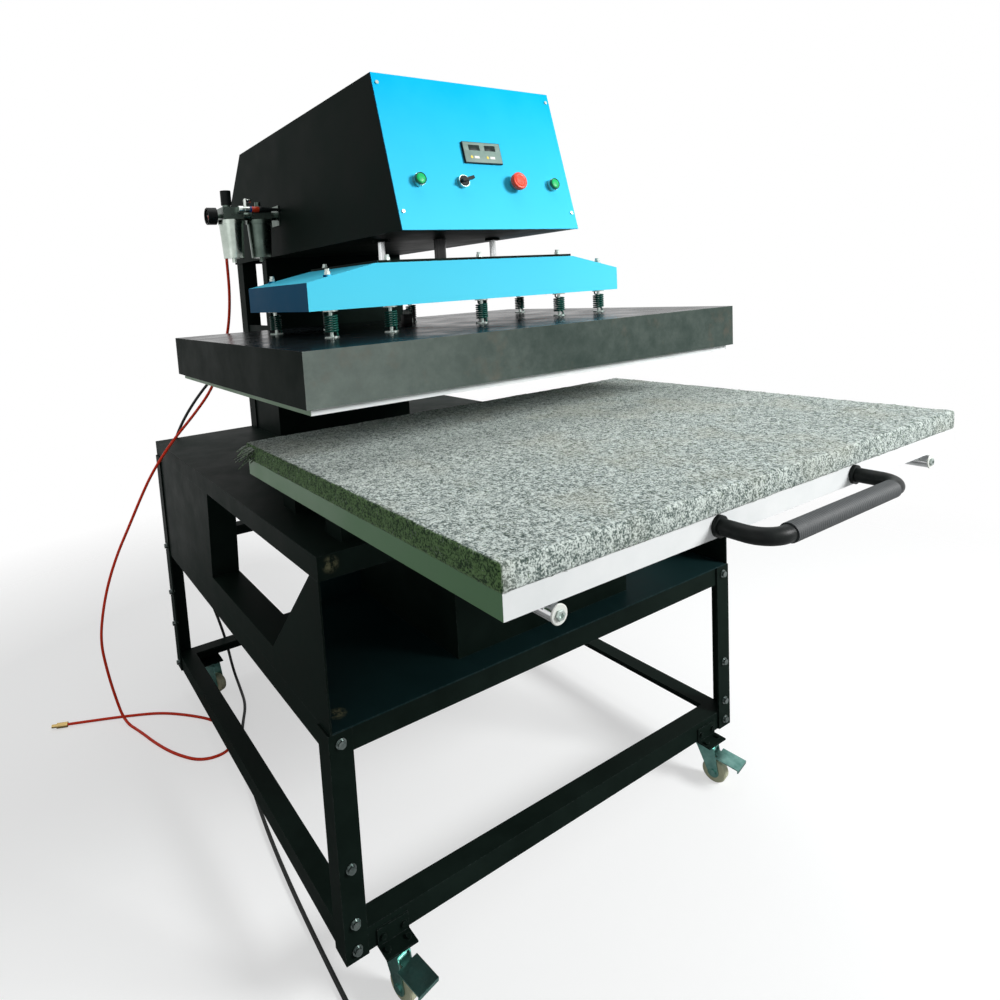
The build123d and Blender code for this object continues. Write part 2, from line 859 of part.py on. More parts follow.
# Air cylinder on the arm plate, with the bushes of the guide posts
barrel_foot = arm_plate_top + cylinder_cap_thickness
barrel_length = press_stroke + piston_thickness + 2 * piston_end_gap
barrel_top = barrel_foot + barrel_length
barrel_outer = cylinder_bore_radius + cylinder_wall
with BuildPart() as cylinder_barrel:
    for cap_foot in (arm_plate_top, barrel_top):
        block(
            (-cylinder_cap_side / 2, platen_y - cylinder_cap_side / 2, cap_foot),
            (cylinder_cap_side / 2, platen_y + cylinder_cap_side / 2, cap_foot + cylinder_cap_thickness),
        )
    disc(0, platen_y, barrel_foot, barrel_top, barrel_outer)
    disc(0, platen_y, barrel_foot, barrel_top, cylinder_bore_radius, Mode.SUBTRACT)
    disc(0, platen_y, arm_plate_top, barrel_foot, rod_radius + running_clearance, Mode.SUBTRACT)
save(cylinder_barrel.part, "cylinder_barrel")
with BuildPart() as guide_bushings:
    for x, y in post_grid:
        disc(x, y, head_floor - bush_flange_thickness, head_floor, bush_flange_radius)
        disc(x, y, head_floor, head_floor + bush_length, bush_radius)
        disc(
            x, y, head_floor - bush_flange_thickness, head_floor + bush_length,
            post_radius + running_clearance, Mode.SUBTRACT,
        )
save(guide_bushings.part, "guide_bushings")

# Press beam, a welded box with sloping ends, and the flat plate on top of it
slope_drop = beam_middle_height - beam_end_height
slope_reach = (beam_length - beam_flat_length) / 2
beam_outside = [
    (-beam_length / 2, beam_foot),
    (beam_length / 2, beam_foot),
    (beam_length / 2, beam_shoulder),
    (beam_flat_length / 2, beam_top),
    (-beam_flat_length / 2, beam_top),
    (-beam_length / 2, beam_shoulder),
]
beam_hollow = [
    (-beam_length / 2 + beam_sheet, beam_foot + beam_floor_thickness),
    (beam_length / 2 - beam_sheet, beam_foot + beam_floor_thickness),
    (beam_length / 2 - beam_sheet, beam_shoulder - beam_sheet),
    (beam_flat_length / 2, beam_top - beam_sheet),
    (-beam_flat_length / 2, beam_top - beam_sheet),
    (-beam_length / 2 + beam_sheet, beam_shoulder - beam_sheet),
]


def beam_surface(x):
    """Height of the beam's top at a distance from its middle."""
    return beam_top - slope_drop * max(0.0, abs(x) - beam_flat_length / 2) / slope_reach


def nut_seat(x):
    """Height on which a bolt's nut sits."""
    if abs(x) < beam_flat_length / 2:
        return beam_plate_top
    return beam_surface(abs(x) - seat_radius) + seat_rise


with BuildPart() as beam_cover:
    front_profile(beam_outside, beam_depth / 2)
    front_profile(beam_hollow, beam_depth / 2 - beam_sheet, Mode.SUBTRACT)
    for x, y in spring_grid:
        if abs(x) > beam_flat_length / 2:
            disc(x, y, beam_surface(abs(x) + seat_radius) - seat_margin, nut_seat(x), seat_radius)
        disc(x, y, beam_foot, beam_plate_top, bolt_radius + bolt_clearance, Mode.SUBTRACT)
    for x, y in post_grid:
        disc(x, y, beam_top - beam_sheet, beam_top, post_radius, Mode.SUBTRACT)
save(beam_cover.part, "beam_cover")
with BuildPart() as beam_top_plate:
    plate_x = beam_flat_length / 2 - beam_plate_inset
    plate_y = beam_depth / 2 - beam_sheet
    block((-plate_x, platen_y - plate_y, beam_top), (plate_x, platen_y + plate_y, beam_plate_top))
    for x, y in spring_grid:
        if abs(x) < beam_flat_length / 2:
            disc(x, y, beam_top, beam_plate_top, bolt_radius + bolt_clearance, Mode.SUBTRACT)
    for x, y in post_grid:
        disc(x, y, beam_top, beam_plate_top, post_radius, Mode.SUBTRACT)
save(beam_top_plate.part, "beam_top_plate")

# Guide posts, and the piston with its rod, which hang the beam from the head
piston_top = barrel_top - piston_end_gap
with BuildPart() as guide_posts:
    for x, y in post_grid:
        disc(x, y, beam_foot + beam_floor_thickness, beam_plate_top + post_length_above_beam, post_radius)
        disc(x, y, beam_plate_top, beam_plate_top + post_nut_height, post_nut_radius)
    disc(0, platen_y, beam_plate_top, beam_plate_top + rod_flange_thickness, rod_flange_radius)
    disc(0, platen_y, beam_plate_top, piston_top, rod_radius)
    disc(0, platen_y, piston_top - piston_thickness, piston_top, cylinder_bore_radius - piston_clearance)
save(guide_posts.part, "guide_posts")

# Springs, each one tube on arcs of a quarter turn, with straight ends square to the washers
spring_foot = cover_top + washer_thickness
spring_top = beam_foot - washer_thickness
spring_radius = spring_outer_radius - spring_wire_radius
spring_end = 2 * spring_wire_radius
helix_foot = spring_foot + spring_end + spring_lead_rise
helix_top = spring_top - spring_end - spring_lead_rise
quarters = spring_turns * 4
rise_per_radian = (helix_top - helix_foot) / (spring_turns * 2 * math.pi)


def around(degrees, height):
    """A place on the spring's cylinder."""
    angle = math.radians(degrees)
    return Vector(spring_radius * math.cos(angle), spring_radius * math.sin(angle), height)


def climbing(degrees):
    """The direction of the helix at an angle."""
    angle = math.radians(degrees)
    return Vector(
        -spring_radius * math.sin(angle), spring_radius * math.cos(angle), rise_per_radian
    ).normalized()


last_degrees = spring_lead_angle + 360 * spring_turns
helix_places = [around(0, spring_foot + spring_end)]
helix_ways = [Vector(0, 0, 1)]
for quarter in range(quarters + 1):
    degrees = spring_lead_angle + 90 * quarter
    helix_places.append(around(degrees, helix_foot + (helix_top - helix_foot) * quarter / quarters))
    helix_ways.append(climbing(degrees))
helix_places.append(around(last_degrees + spring_lead_angle, spring_top - spring_end))
helix_ways.append(Vector(0, 0, 1))
with BuildPart(mode=Mode.PRIVATE) as one_spring:
    with BuildLine() as spring_path:
        Line(around(0, spring_foot), helix_places[0])
        arcs_through(helix_places, helix_ways)
        Line(helix_places[-1], around(last_degrees + spring_lead_angle, spring_top))
    with BuildSketch(Plane(origin=around(0, spring_foot), z_dir=(0, 0, 1))) as wire_section:
        Circle(spring_wire_radius)
    sweep(wire_section.sketch, path=spring_path.wire())
print("spring gap", round(own_gap(spring_path.wire(), spring_wire_radius, 700, 3 * spring_end), 2))
with BuildPart() as press_springs:
    for x, y in spring_grid:
        with Locations((x, y, 0)):
            add(one_spring.part)
save(press_springs.part, "press_springs")
with BuildPart() as spring_washers:
    for x, y in spring_grid:
        disc(x, y, spring_top, beam_foot, washer_radius)
        disc(x, y, spring_top, beam_foot, bolt_radius + bolt_clearance, Mode.SUBTRACT)
save(spring_washers.part, "spring_washers")

# Bolts through the springs, with a washer on the platen and a domed nut over the beam
with BuildPart() as spring_bolts:
    for x, y in spring_grid:
        nut_foot = nut_seat(x)
        disc(x, y, cover_ceiling - bolt_thread_depth, nut_foot + bolt_nut_height, bolt_radius)
        disc(x, y, cover_top, spring_foot, washer_radius)
        with BuildSketch(Plane.XY.offset(nut_foot)) as nut:
            with Locations((x, y)):
                RegularPolygon(bolt_nut_radius, 6)
        extrude(nut.sketch, amount=bolt_nut_height)
        disc(x, y, nut_foot + bolt_nut_height, nut_foot + bolt_nut_height + bolt_tip_height, bolt_tip_radius)
save(spring_bolts.part, "spring_bolts")

# Heated platen, cover, insulation and press plate
with BuildPart() as platen_cover:
    block(
        (-cover_length / 2, platen_y - cover_depth / 2, cover_foot),
        (cover_length / 2, platen_y + cover_depth / 2, cover_top),
    )
    block(
        (-cover_length / 2 + platen_cover_sheet, platen_y - cover_depth / 2 + platen_cover_sheet, cover_foot),
        (cover_length / 2 - platen_cover_sheet, platen_y + cover_depth / 2 - platen_cover_sheet, cover_ceiling),
        Mode.SUBTRACT,
    )
    for x, y in spring_grid:
        disc(x, y, cover_ceiling, cover_top, bolt_radius, Mode.SUBTRACT)
save(platen_cover.part, "platen_cover")
with BuildPart() as press_plate:
    block(
        (-platen_length / 2, platen_y - platen_depth / 2, platen_underside_height),
        (platen_length / 2, platen_y + platen_depth / 2, press_plate_top),
    )
    for x, y in spring_grid:
        disc(x, y, press_plate_top, cover_ceiling, boss_radius)
        disc(x, y, cover_ceiling - bolt_thread_depth, cover_ceiling, bolt_radius, Mode.SUBTRACT)
save(press_plate.part, "press_plate")
with BuildPart() as insulation_board:
    block(
        (-platen_length / 2, platen_y - platen_depth / 2, press_plate_top),
        (platen_length / 2, platen_y + platen_depth / 2, cover_ceiling),
    )
    for x, y in spring_grid:
        disc(x, y, press_plate_top, cover_ceiling, boss_radius + board_clearance, Mode.SUBTRACT)
save(insulation_board.part, "insulation_board")

# Bed, a skin on bars, with the pad on top of it
with BuildPart() as bed_plate:
    block((-bed_length / 2, bed_front_y, bed_foot), (bed_length / 2, bed_back_y, bed_top))
    bay_count_x = 3
    bay_count_y = 2
    bay_width = (bed_length - (bay_count_x + 1) * bed_bar_width) / bay_count_x
    bay_depth = (bed_depth - (bay_count_y + 1) * bed_bar_width) / bay_count_y
    with Locations((0, bed_y, (bed_foot + bed_top - bed_skin) / 2)):
        with GridLocations(bay_width + bed_bar_width, bay_depth + bed_bar_width, bay_count_x, bay_count_y):
            Box(bay_width, bay_depth, bed_edge_height - bed_skin, mode=Mode.SUBTRACT)
save(bed_plate.part, "bed_plate")
with BuildPart() as bed_pad:
    pad_x = bed_length / 2 + pad_overhang
    block(
        (-pad_x, bed_front_y - pad_overhang, bed_top),
        (pad_x, bed_back_y + pad_overhang, pad_top),
    )
save(bed_pad.part, "bed_pad")

# Slide shafts under the bed, with their end supports, and the bearings on the table
shaft_front_y = bed_front_y + shaft_end_inset
shaft_rear_y = bed_back_y - shaft_end_inset
with BuildPart() as slide_shafts:
    for side_x in (-1, 1):
        shaft_x = side_x * shaft_spacing / 2
        lengthwise_bar(shaft_x, shaft_height, shaft_front_y, shaft_rear_y, shaft_radius)
        for support_y in (shaft_front_y + front_support_setback, shaft_rear_y - shaft_support_thickness):
            block(
                (shaft_x - shaft_support_width / 2, support_y, shaft_height),
                (shaft_x + shaft_support_width / 2, support_y + shaft_support_thickness, bed_foot),
            )
save(slide_shafts.part, "slide_shafts")
rear_bearing_y = shaft_rear_y - shaft_support_thickness - rear_bearing_gap - bearing_length / 2
bearing_top = shaft_height + shaft_radius + bearing_roof
with BuildPart() as slide_bearings:
    for side_x in (-1, 1):
        shaft_x = side_x * shaft_spacing / 2
        for bearing_y in (rear_bearing_y - bearing_spread, rear_bearing_y):
            block(
                (shaft_x - bearing_width / 2, bearing_y - bearing_length / 2, table_height),
                (shaft_x + bearing_width / 2, bearing_y + bearing_length / 2, bearing_top),
            )
        lengthwise_bar(
            shaft_x, shaft_height, rear_bearing_y - bearing_spread - bearing_length,
            rear_bearing_y + bearing_length, shaft_radius + running_clearance, Mode.SUBTRACT,
        )
save(slide_bearings.part, "slide_bearings")

# Handle on the bed's front edge, two bent arms and the grip between them
grip_y = bed_front_y - handle_reach
with BuildPart() as handle_arms:
    for side_x in (-1, 1):
        base_x = side_x * handle_spacing / 2
        with BuildLine() as arm_path:
            FilletPolyline(
                (base_x, bed_front_y - handle_base_thickness, bed_middle_height),
                (base_x, grip_y, bed_middle_height),
                (side_x * grip_length / 2, grip_y, bed_middle_height),
                radius=handle_bend_radius,
            )
        with BuildSketch(Plane(origin=arm_path.line @ 0, z_dir=arm_path.line % 0)) as arm_section:
            Circle(handle_elbow_radius)
        sweep(arm_section.sketch, path=arm_path.wire())
        lengthwise_bar(
            base_x, bed_middle_height, bed_front_y - handle_base_thickness, bed_front_y, handle_base_radius
        )
save(handle_arms.part, "handle_arms")
with BuildPart() as handle_grip:
    crosswise_bar(-grip_length / 2, grip_length / 2, grip_y, bed_middle_height, grip_radius)
save(handle_grip.part, "handle_grip")

# Air filter with its regulator, the oiler beside it and the elbow that takes the hose
air_port_z = air_body_base + air_port_rise
knob_x = -filter_side - knob_side_shift
air_half = air_body_side / 2
elbow_x = -filter_side - elbow_offset
elbow_y = air_y + air_half + elbow_reach
elbow_foot = air_port_z - elbow_drop
filter_left = -filter_side - air_half
knob_foot = air_body_top + knob_neck_length + knob_gap
with BuildPart() as frl_body:
    for body_x in (-filter_side, -oiler_side):
        block(
            (body_x - air_half, air_y - air_half, air_body_base),
            (body_x + air_half, air_y + air_half, air_body_top),
        )
    crosswise_bar(-filter_side, -oiler_side, air_y, air_port_z, nipple_radius)
    crosswise_bar(-oiler_side, -head_half_width, air_y, air_port_z, nipple_radius)
    block(
        (-head_half_width - bracket_sheet, air_y - bracket_height / 2, air_port_z - bracket_height / 2),
        (-head_half_width, air_y + bracket_height / 2, air_port_z + bracket_height / 2),
    )
    disc(knob_x, air_y, air_body_top, air_body_top + knob_neck_length, knob_neck_radius)
    disc(knob_x, air_y, air_body_top, air_body_top + knob_neck_length + spindle_length, spindle_radius)
    disc(-oiler_side, air_y, air_body_top, air_body_top + sight_dome_height, sight_dome_radius)
    crosswise_bar(filter_left - gauge_stub_length, filter_left, air_y, air_port_z, gauge_stub_radius)
    lengthwise_bar(elbow_x, air_port_z, air_y + air_half, elbow_y, elbow_radius)
    disc(elbow_x, elbow_y, elbow_foot, air_port_z + elbow_radius, elbow_radius)
save(frl_body.part, "frl_body")
for bowl_name, bowl_x in (("filter_bowl", -filter_side), ("oiler_bowl", -oiler_side)):
    with BuildPart() as bowl:
        rim_foot = air_body_base - bowl_rim_height
        bowl_foot = rim_foot - bowl_length
        disc(bowl_x, air_y, rim_foot, air_body_base, bowl_rim_radius)
        with Locations((bowl_x, air_y, (bowl_foot + rim_foot) / 2)):
            Cone(bowl_radius - bowl_taper, bowl_radius, bowl_length)
        disc(bowl_x, air_y, bowl_foot - drain_length, bowl_foot, drain_radius)
    save(bowl.part, bowl_name)
with BuildPart() as regulator_knob:
    disc(knob_x, air_y, knob_foot, knob_foot + knob_length, knob_radius)
    disc(
        knob_x, air_y, knob_foot, knob_foot + spindle_length + knob_gap,
        spindle_radius + running_clearance, Mode.SUBTRACT,
    )
save(regulator_knob.part, "regulator_knob")

# Pressure gauge on the filter's left side, with its needle
gauge_right = filter_left - gauge_stub_length
gauge_left = gauge_right - gauge_length
dial_x = gauge_left + gauge_face_depth
needle_x = dial_x - needle_lift
with BuildPart() as pressure_gauge:
    crosswise_bar(gauge_left, gauge_right, air_y, air_port_z, gauge_radius)
    crosswise_bar(gauge_left, dial_x, air_y, air_port_z, gauge_radius - gauge_wall, Mode.SUBTRACT)
    crosswise_bar(
        dial_x, dial_x + needle_pin_depth + needle_lift, air_y, air_port_z,
        needle_pin_radius + needle_pin_clearance, Mode.SUBTRACT,
    )
save(pressure_gauge.part, "pressure_gauge")
with BuildPart() as gauge_needle:
    crosswise_bar(needle_x - needle_hub_length, needle_x, air_y, air_port_z, needle_hub_radius)
    crosswise_bar(needle_x, dial_x + needle_pin_depth, air_y, air_port_z, needle_pin_radius)
    block(
        (needle_x - needle_thickness, air_y - needle_width / 2, air_port_z - needle_length),
        (needle_x, air_y + needle_width / 2, air_port_z),
    )
save(gauge_needle.part, "gauge_needle")

# Casters. Each turns on its plate, and its wheel trails to one side. The front pair has a brake pedal
plate_foot = caster_plate_height
cup_top = plate_foot - swivel_gap
cup_foot = cup_top - swivel_cup_height
crown_foot = cup_foot - fork_crown
cheek_inner = wheel_width / 2 + fork_gap
cheek_outer = cheek_inner + fork_plate


def framed_block(frame, low, high, mode=Mode.ADD):
    """A block between two opposite corners of a turned frame."""
    middle = [(a + b) / 2 for a, b in zip(low, high)]
    size = [abs(b - a) for a, b in zip(low, high)]
    with Locations(frame):
        with Locations(tuple(middle)):
            Box(*size, mode=mode)


def framed_axle(frame, along, height, half_width, radius, mode=Mode.ADD):
    """A round bar or hole across a turned frame."""
    with Locations(frame):
        with Locations((along, 0, height)):
            Cylinder(radius, 2 * half_width, rotation=(90, 0, 0), mode=mode)


caster_spots = {
    "front_left": (-caster_x, caster_front_y, front_caster_turn),
    "front_right": (caster_x, caster_front_y, front_caster_turn),
    "back_left": (-caster_x, caster_back_y, back_caster_turn),
    "back_right": (caster_x, caster_back_y, back_caster_turn),
}
with BuildPart() as caster_plates:
    for spot, (x, y, turn) in caster_spots.items():
        toward = -1 if spot.startswith("front") else 1
        rail_face = rail_front_y if toward < 0 else rail_back_y
        half_plate = caster_plate_width / 2
        block(
            (x - half_plate, y - caster_plate_depth / 2, plate_foot),
            (x + half_plate, y + caster_plate_depth / 2, foot_height),
        )
        block(
            (x - half_plate, rail_face, plate_foot),
            (x + half_plate, rail_face + toward * caster_plate_thickness, foot_height + caster_tab_height),
        )
        disc(x, y, crown_foot - kingpin_head, plate_foot, kingpin_radius)
        disc(x, y, crown_foot - swivel_gap - kingpin_head, crown_foot - swivel_gap, kingpin_head_radius)
        for side in (-1, 1):
            bolt_x = x + side * caster_bolt_spacing / 2
            tab_face = rail_face + toward * caster_plate_thickness
            lengthwise_bar(
                bolt_x, foot_height + caster_tab_height / 2,
                min(tab_face, tab_face + toward * caster_bolt_height),
                max(tab_face, tab_face + toward * caster_bolt_height), caster_bolt_radius,
            )
            disc(
                bolt_x, y - caster_plate_depth / 2 + caster_bolt_inset,
                foot_height, foot_height + caster_bolt_height, caster_bolt_radius,
            )
save(caster_plates.part, "caster_plates")
for spot, (x, y, turn) in caster_spots.items():
    trail_frame = Plane(
        origin=(x, y, 0),
        x_dir=(math.cos(math.radians(turn)), math.sin(math.radians(turn)), 0),
        z_dir=(0, 0, 1),
    )
    cheek_plane = Plane(origin=trail_frame.origin, x_dir=trail_frame.x_dir, z_dir=trail_frame.x_dir.cross(Vector(0, 0, 1)))
    with BuildPart() as caster_fork:
        disc(x, y, cup_foot, cup_top, swivel_cup_radius)
        framed_block(trail_frame, (-crown_back, -cheek_outer, crown_foot), (crown_front, cheek_outer, cup_foot))
        for side in (-1, 1):
            cheek_start = cheek_plane.offset(cheek_inner if side > 0 else -cheek_outer)
            with BuildSketch(cheek_start) as cheek:
                with BuildLine():
                    Polyline(
                        (-crown_back, cup_foot),
                        (crown_front, cup_foot),
                        (wheel_trail + fork_cheek_radius, wheel_radius),
                        (wheel_trail - fork_cheek_radius, wheel_radius),
                        close=True,
                    )
                make_face()
                with Locations((wheel_trail, wheel_radius)):
                    Circle(fork_cheek_radius)
            extrude(cheek.sketch, amount=fork_plate)
        framed_axle(trail_frame, wheel_trail, wheel_radius, cheek_outer + axle_head_height, axle_radius)
        for side in (-1, 1):
            head_from = side * cheek_outer
            head_to = side * (cheek_outer + axle_head_height)
            with Locations(trail_frame):
                with Locations((wheel_trail, (head_from + head_to) / 2, wheel_radius)):
                    Cylinder(axle_head_radius, axle_head_height, rotation=(90, 0, 0))
        if spot.startswith("front"):
            framed_axle(trail_frame, pedal_pin_along, pedal_pin_height, cheek_outer, pedal_pin_radius)
        disc(x, y, crown_foot, cup_top, kingpin_radius + running_clearance, Mode.SUBTRACT)
    save(caster_fork.part, "caster_fork_" + spot)
    with BuildPart() as caster_wheel:
        framed_axle(trail_frame, wheel_trail, wheel_radius, wheel_width / 2, wheel_radius)
        chamfer(caster_wheel.edges().filter_by(GeomType.CIRCLE), wheel_chamfer)
        framed_axle(
            trail_frame, wheel_trail, wheel_radius, wheel_width / 2, axle_radius + running_clearance, Mode.SUBTRACT
        )
    save(caster_wheel.part, "caster_wheel_" + spot)
    if spot.startswith("front"):
        pin_place = trail_frame.from_local_coords((pedal_pin_along, 0, pedal_pin_height))
        slope = math.radians(pedal_slope)
        pedal_frame = Plane(
            origin=pin_place,
            x_dir=trail_frame.x_dir * math.cos(slope) - Vector(0, 0, math.sin(slope)),
            z_dir=trail_frame.x_dir * math.sin(slope) + Vector(0, 0, math.cos(slope)),
        )
        with BuildPart() as brake_pedal:
            framed_axle(pedal_frame, 0, 0, pedal_tongue_width / 2, pedal_barrel_radius)
            framed_block(
                pedal_frame,
                (0, -pedal_tongue_width / 2, -pedal_thickness / 2),
                (pedal_tongue_length, pedal_tongue_width / 2, pedal_thickness / 2),
            )
            framed_block(
                pedal_frame,
                (pedal_tongue_length, -pedal_width / 2, -pedal_thickness / 2),
                (pedal_length, pedal_width / 2, pedal_thickness / 2),
            )
            framed_block(
                pedal_frame,
                (pedal_length - pedal_thickness, -pedal_width / 2, -pedal_lip),
                (pedal_length, pedal_width / 2, pedal_thickness / 2),
            )
            framed_axle(
                pedal_frame, 0, 0, pedal_tongue_width / 2, pedal_pin_radius + running_clearance, Mode.SUBTRACT
            )
        save(brake_pedal.part, "brake_pedal_" + spot.split("_")[1])

# Air hose, from the filter's elbow over the table's left edge to the floor, where it turns back.
# Its way and the cable's are given as distances out from the table's left edge and back from the
# platen's middle, with heights over the table in millimetres and heights beside it as shares of its own
hose_floor = hose_radius + floor_clearance
connector_height = connector_radius + floor_clearance
hose_over_table = [
    (-195, 566, 487), (-190, 596, 382), (-170, 633, 287), (-140, 666, 192), (-80, 691, 112), (-10, 711, 35),
]
hose_beside_table = [
    (54, 741, 0.938), (95, 766, 0.848), (135, 796, 0.748), (175, 826, 0.652), (210, 851, 0.546),
    (235, 866, 0.44), (250, 881, 0.329), (240, 891, 0.217), (225, 901, 0.111),
]
hose_on_floor = [
    (205, 886), (170, 791), (140, 691), (100, 596), (40, 511), (-50, 506), (-75, 601), (-50, 701),
    (15, 786), (90, 861), (180, 911), (275, 956),
]
hose_end = (370, 989)

# Power cable, from its gland over the table's back edge to the floor and forward under the left rail
cable_floor = cable_radius + floor_clearance
gland_y = platen_y + gland_back
cable_over_table = [(-225, 921, 212), (-150, 931, 132), (-90, 946, 42)]
cable_beside_table = [
    (-50, 961, 0.938), (-40, 964, 0.827), (-48, 961, 0.71), (-65, 957, 0.594), (-93, 956, 0.482),
    (-125, 954, 0.371), (-155, 956, 0.26), (-177, 949, 0.148), (-185, 921, 0.039),
]
cable_on_floor = [
    (-180, 824), (-164, 717), (-120, 617), (-84, 516), (-63, 408), (-48, 300), (-35, 191), (-24, 83),
    (-16, -26), (-10, -135), (-6, -244), (-3, -354), (-1, -459), (2, -559),
]


def beside_table(outward, back, height):
    """A place given by its distance out from the table's left edge and back from the platen's middle."""
    return Vector(-table_width / 2 - outward, platen_y + back, height)


def cord_way(over_table, next_to_table, on_floor, floor_height):
    """The places along a cord from the first one over the table to the last one on the floor."""
    way = [beside_table(outward, back, table_height + rise) for outward, back, rise in over_table]
    way += [beside_table(outward, back, table_height * share) for outward, back, share in next_to_table]
    way += [beside_table(outward, back, floor_height) for outward, back in on_floor]
    return way


hose_route = [Vector(elbow_x, elbow_y, elbow_foot), Vector(elbow_x, elbow_y, elbow_foot - hose_drop)]
hose_route += cord_way(hose_over_table, hose_beside_table, hose_on_floor, hose_floor)
hose_route.append(beside_table(*hose_end, connector_height))
gland_end_x = -column_half_width - gland_length
cable_route = [Vector(gland_end_x, gland_y, gland_z), Vector(gland_end_x - cable_lead_length, gland_y, gland_z)]
cable_route += cord_way(cable_over_table, cable_beside_table, cable_on_floor, cable_floor)


def cord_tube(route, radius, label):
    """A tube along straight runs joined by arcs, added to the part being built."""
    radii = bend_radii(route)
    print(label, "bend radii", [round(value) for value in radii])
    with BuildLine() as path:
        FilletPolyline(*route, radius=radii)
    with BuildSketch(Plane(origin=route[0], z_dir=route[1] - route[0])) as section:
        Circle(radius)
    sweep(section.sketch, path=path.wire())
    print(label, "length", round(path.wire().length), "volume over section", path.wire().length * math.pi * radius**2)


with BuildPart() as air_hose:
    cord_tube(hose_route, hose_radius, "hose")
print("hose volume", air_hose.part.volume)
save(air_hose.part, "air_hose")
with BuildPart() as power_cable:
    cord_tube(cable_route, cable_radius, "cable")
print("cable volume", power_cable.part.volume)
save(power_cable.part, "power_cable")

# Coupling on the hose's end
with BuildPart() as hose_connector:
    with Locations(Plane(origin=hose_route[-1], z_dir=hose_route[-1] - hose_route[-2])):
        with Locations((0, 0, connector_length / 2)):
            Cylinder(connector_radius, connector_length)
        with Locations((0, 0, connector_length + connector_tip_length / 2)):
            Cylinder(connector_tip_radius, connector_tip_length)
save(hose_connector.part, "hose_connector")

# Spare cable, two layers of loops that spiral in below and out above
coil_centre = cable_route[-1] - Vector(coil_outer_radius, 0, 0)
climb_start = 2 * math.pi * coil_loops
climb_end = climb_start + math.pi
coil_finish = climb_end + climb_start


def eased(share):
    """A smooth step from nought to one."""
    share = min(1.0, max(0.0, share))
    return share * share * (3 - 2 * share)


def coil_place(angle):
    """A place along the coil, counted in radians from where the cable enters it."""
    inward = min(angle, climb_end)
    outward = max(0.0, angle - climb_end)
    radius = coil_outer_radius + coil_pitch * (outward - inward) / (2 * math.pi)
    radius += coil_pitch / 2 * eased(outward / math.pi)
    height = coil_pitch * eased((angle - climb_start) / math.pi)
    return coil_centre + Vector(radius * math.cos(angle), -radius * math.sin(angle), height)


def coil_way(angle):
    """The direction of the coil at an angle."""
    return (coil_place(angle + coil_step) - coil_place(angle - coil_step)).normalized()


quarter_count = round(coil_finish / (math.pi / 2))
coil_angles = [index * math.pi / 2 for index in range(quarter_count + 1)]
coil_places = [coil_place(angle) for angle in coil_angles]
coil_ways = [coil_way(angle) for angle in coil_angles]
coil_ways[0] = Vector(coil_ways[0].X, coil_ways[0].Y, 0).normalized()
tail_end = coil_places[-1] + coil_ways[-1] * tail_length
with BuildPart() as cable_coil:
    with BuildLine() as coil_path:
        arcs_through(coil_places, coil_ways)
        Line(coil_places[-1], tail_end)
    with BuildSketch(Plane(origin=coil_places[0], z_dir=coil_ways[0])) as coil_section:
        Circle(cable_radius)
    sweep(coil_section.sketch, path=coil_path.wire())
print("coil gap", round(own_gap(coil_path.wire(), cable_radius, 700, 60), 2), "length", round(coil_path.wire().length))
save(cable_coil.part, "cable_coil")

# Plug on the cable's end, lying on the floor
plug_radius = cable_floor + coil_pitch - floor_clearance
with BuildPart() as power_plug:
    with Locations(Plane(origin=tail_end, z_dir=coil_ways[-1])):
        with Locations((0, 0, plug_neck_length / 2)):
            Cone(plug_neck_radius, plug_radius, plug_neck_length)
        with Locations((0, 0, plug_neck_length + plug_body_length / 2)):
            Cylinder(plug_radius, plug_body_length)
        for side in (-1, 1):
            pin_z = plug_neck_length + plug_body_length + plug_pin_length / 2
            with Locations((side * plug_pin_spacing / 2, 0, pin_z)):
                Cylinder(plug_pin_radius, plug_pin_length)
save(power_plug.part, "power_plug")
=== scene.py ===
"""Finishes of a large pneumatic heat press with a pull-out bed. Metres, in the frame of its solids."""
import json
import math
import random

import bmesh
import bpy
from mathutils import Matrix, Vector
from mathutils.noise import turbulence


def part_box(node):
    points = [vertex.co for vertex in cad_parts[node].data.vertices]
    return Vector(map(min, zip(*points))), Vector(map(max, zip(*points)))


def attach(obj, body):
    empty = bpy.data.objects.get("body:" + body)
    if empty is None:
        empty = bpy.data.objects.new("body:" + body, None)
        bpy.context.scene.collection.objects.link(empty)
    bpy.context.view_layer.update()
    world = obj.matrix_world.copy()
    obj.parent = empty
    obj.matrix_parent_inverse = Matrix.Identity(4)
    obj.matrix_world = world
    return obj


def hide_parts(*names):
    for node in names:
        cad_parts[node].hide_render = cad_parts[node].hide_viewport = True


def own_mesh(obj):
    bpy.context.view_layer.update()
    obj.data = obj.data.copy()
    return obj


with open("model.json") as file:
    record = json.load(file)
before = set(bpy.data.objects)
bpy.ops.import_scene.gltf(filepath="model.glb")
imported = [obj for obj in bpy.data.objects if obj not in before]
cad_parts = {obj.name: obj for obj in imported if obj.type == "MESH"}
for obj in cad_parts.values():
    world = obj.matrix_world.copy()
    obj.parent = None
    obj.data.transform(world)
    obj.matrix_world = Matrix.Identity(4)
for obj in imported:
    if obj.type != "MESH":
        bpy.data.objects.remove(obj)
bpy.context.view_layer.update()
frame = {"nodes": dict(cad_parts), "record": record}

scene = bpy.context.scene
nodes = frame["nodes"]

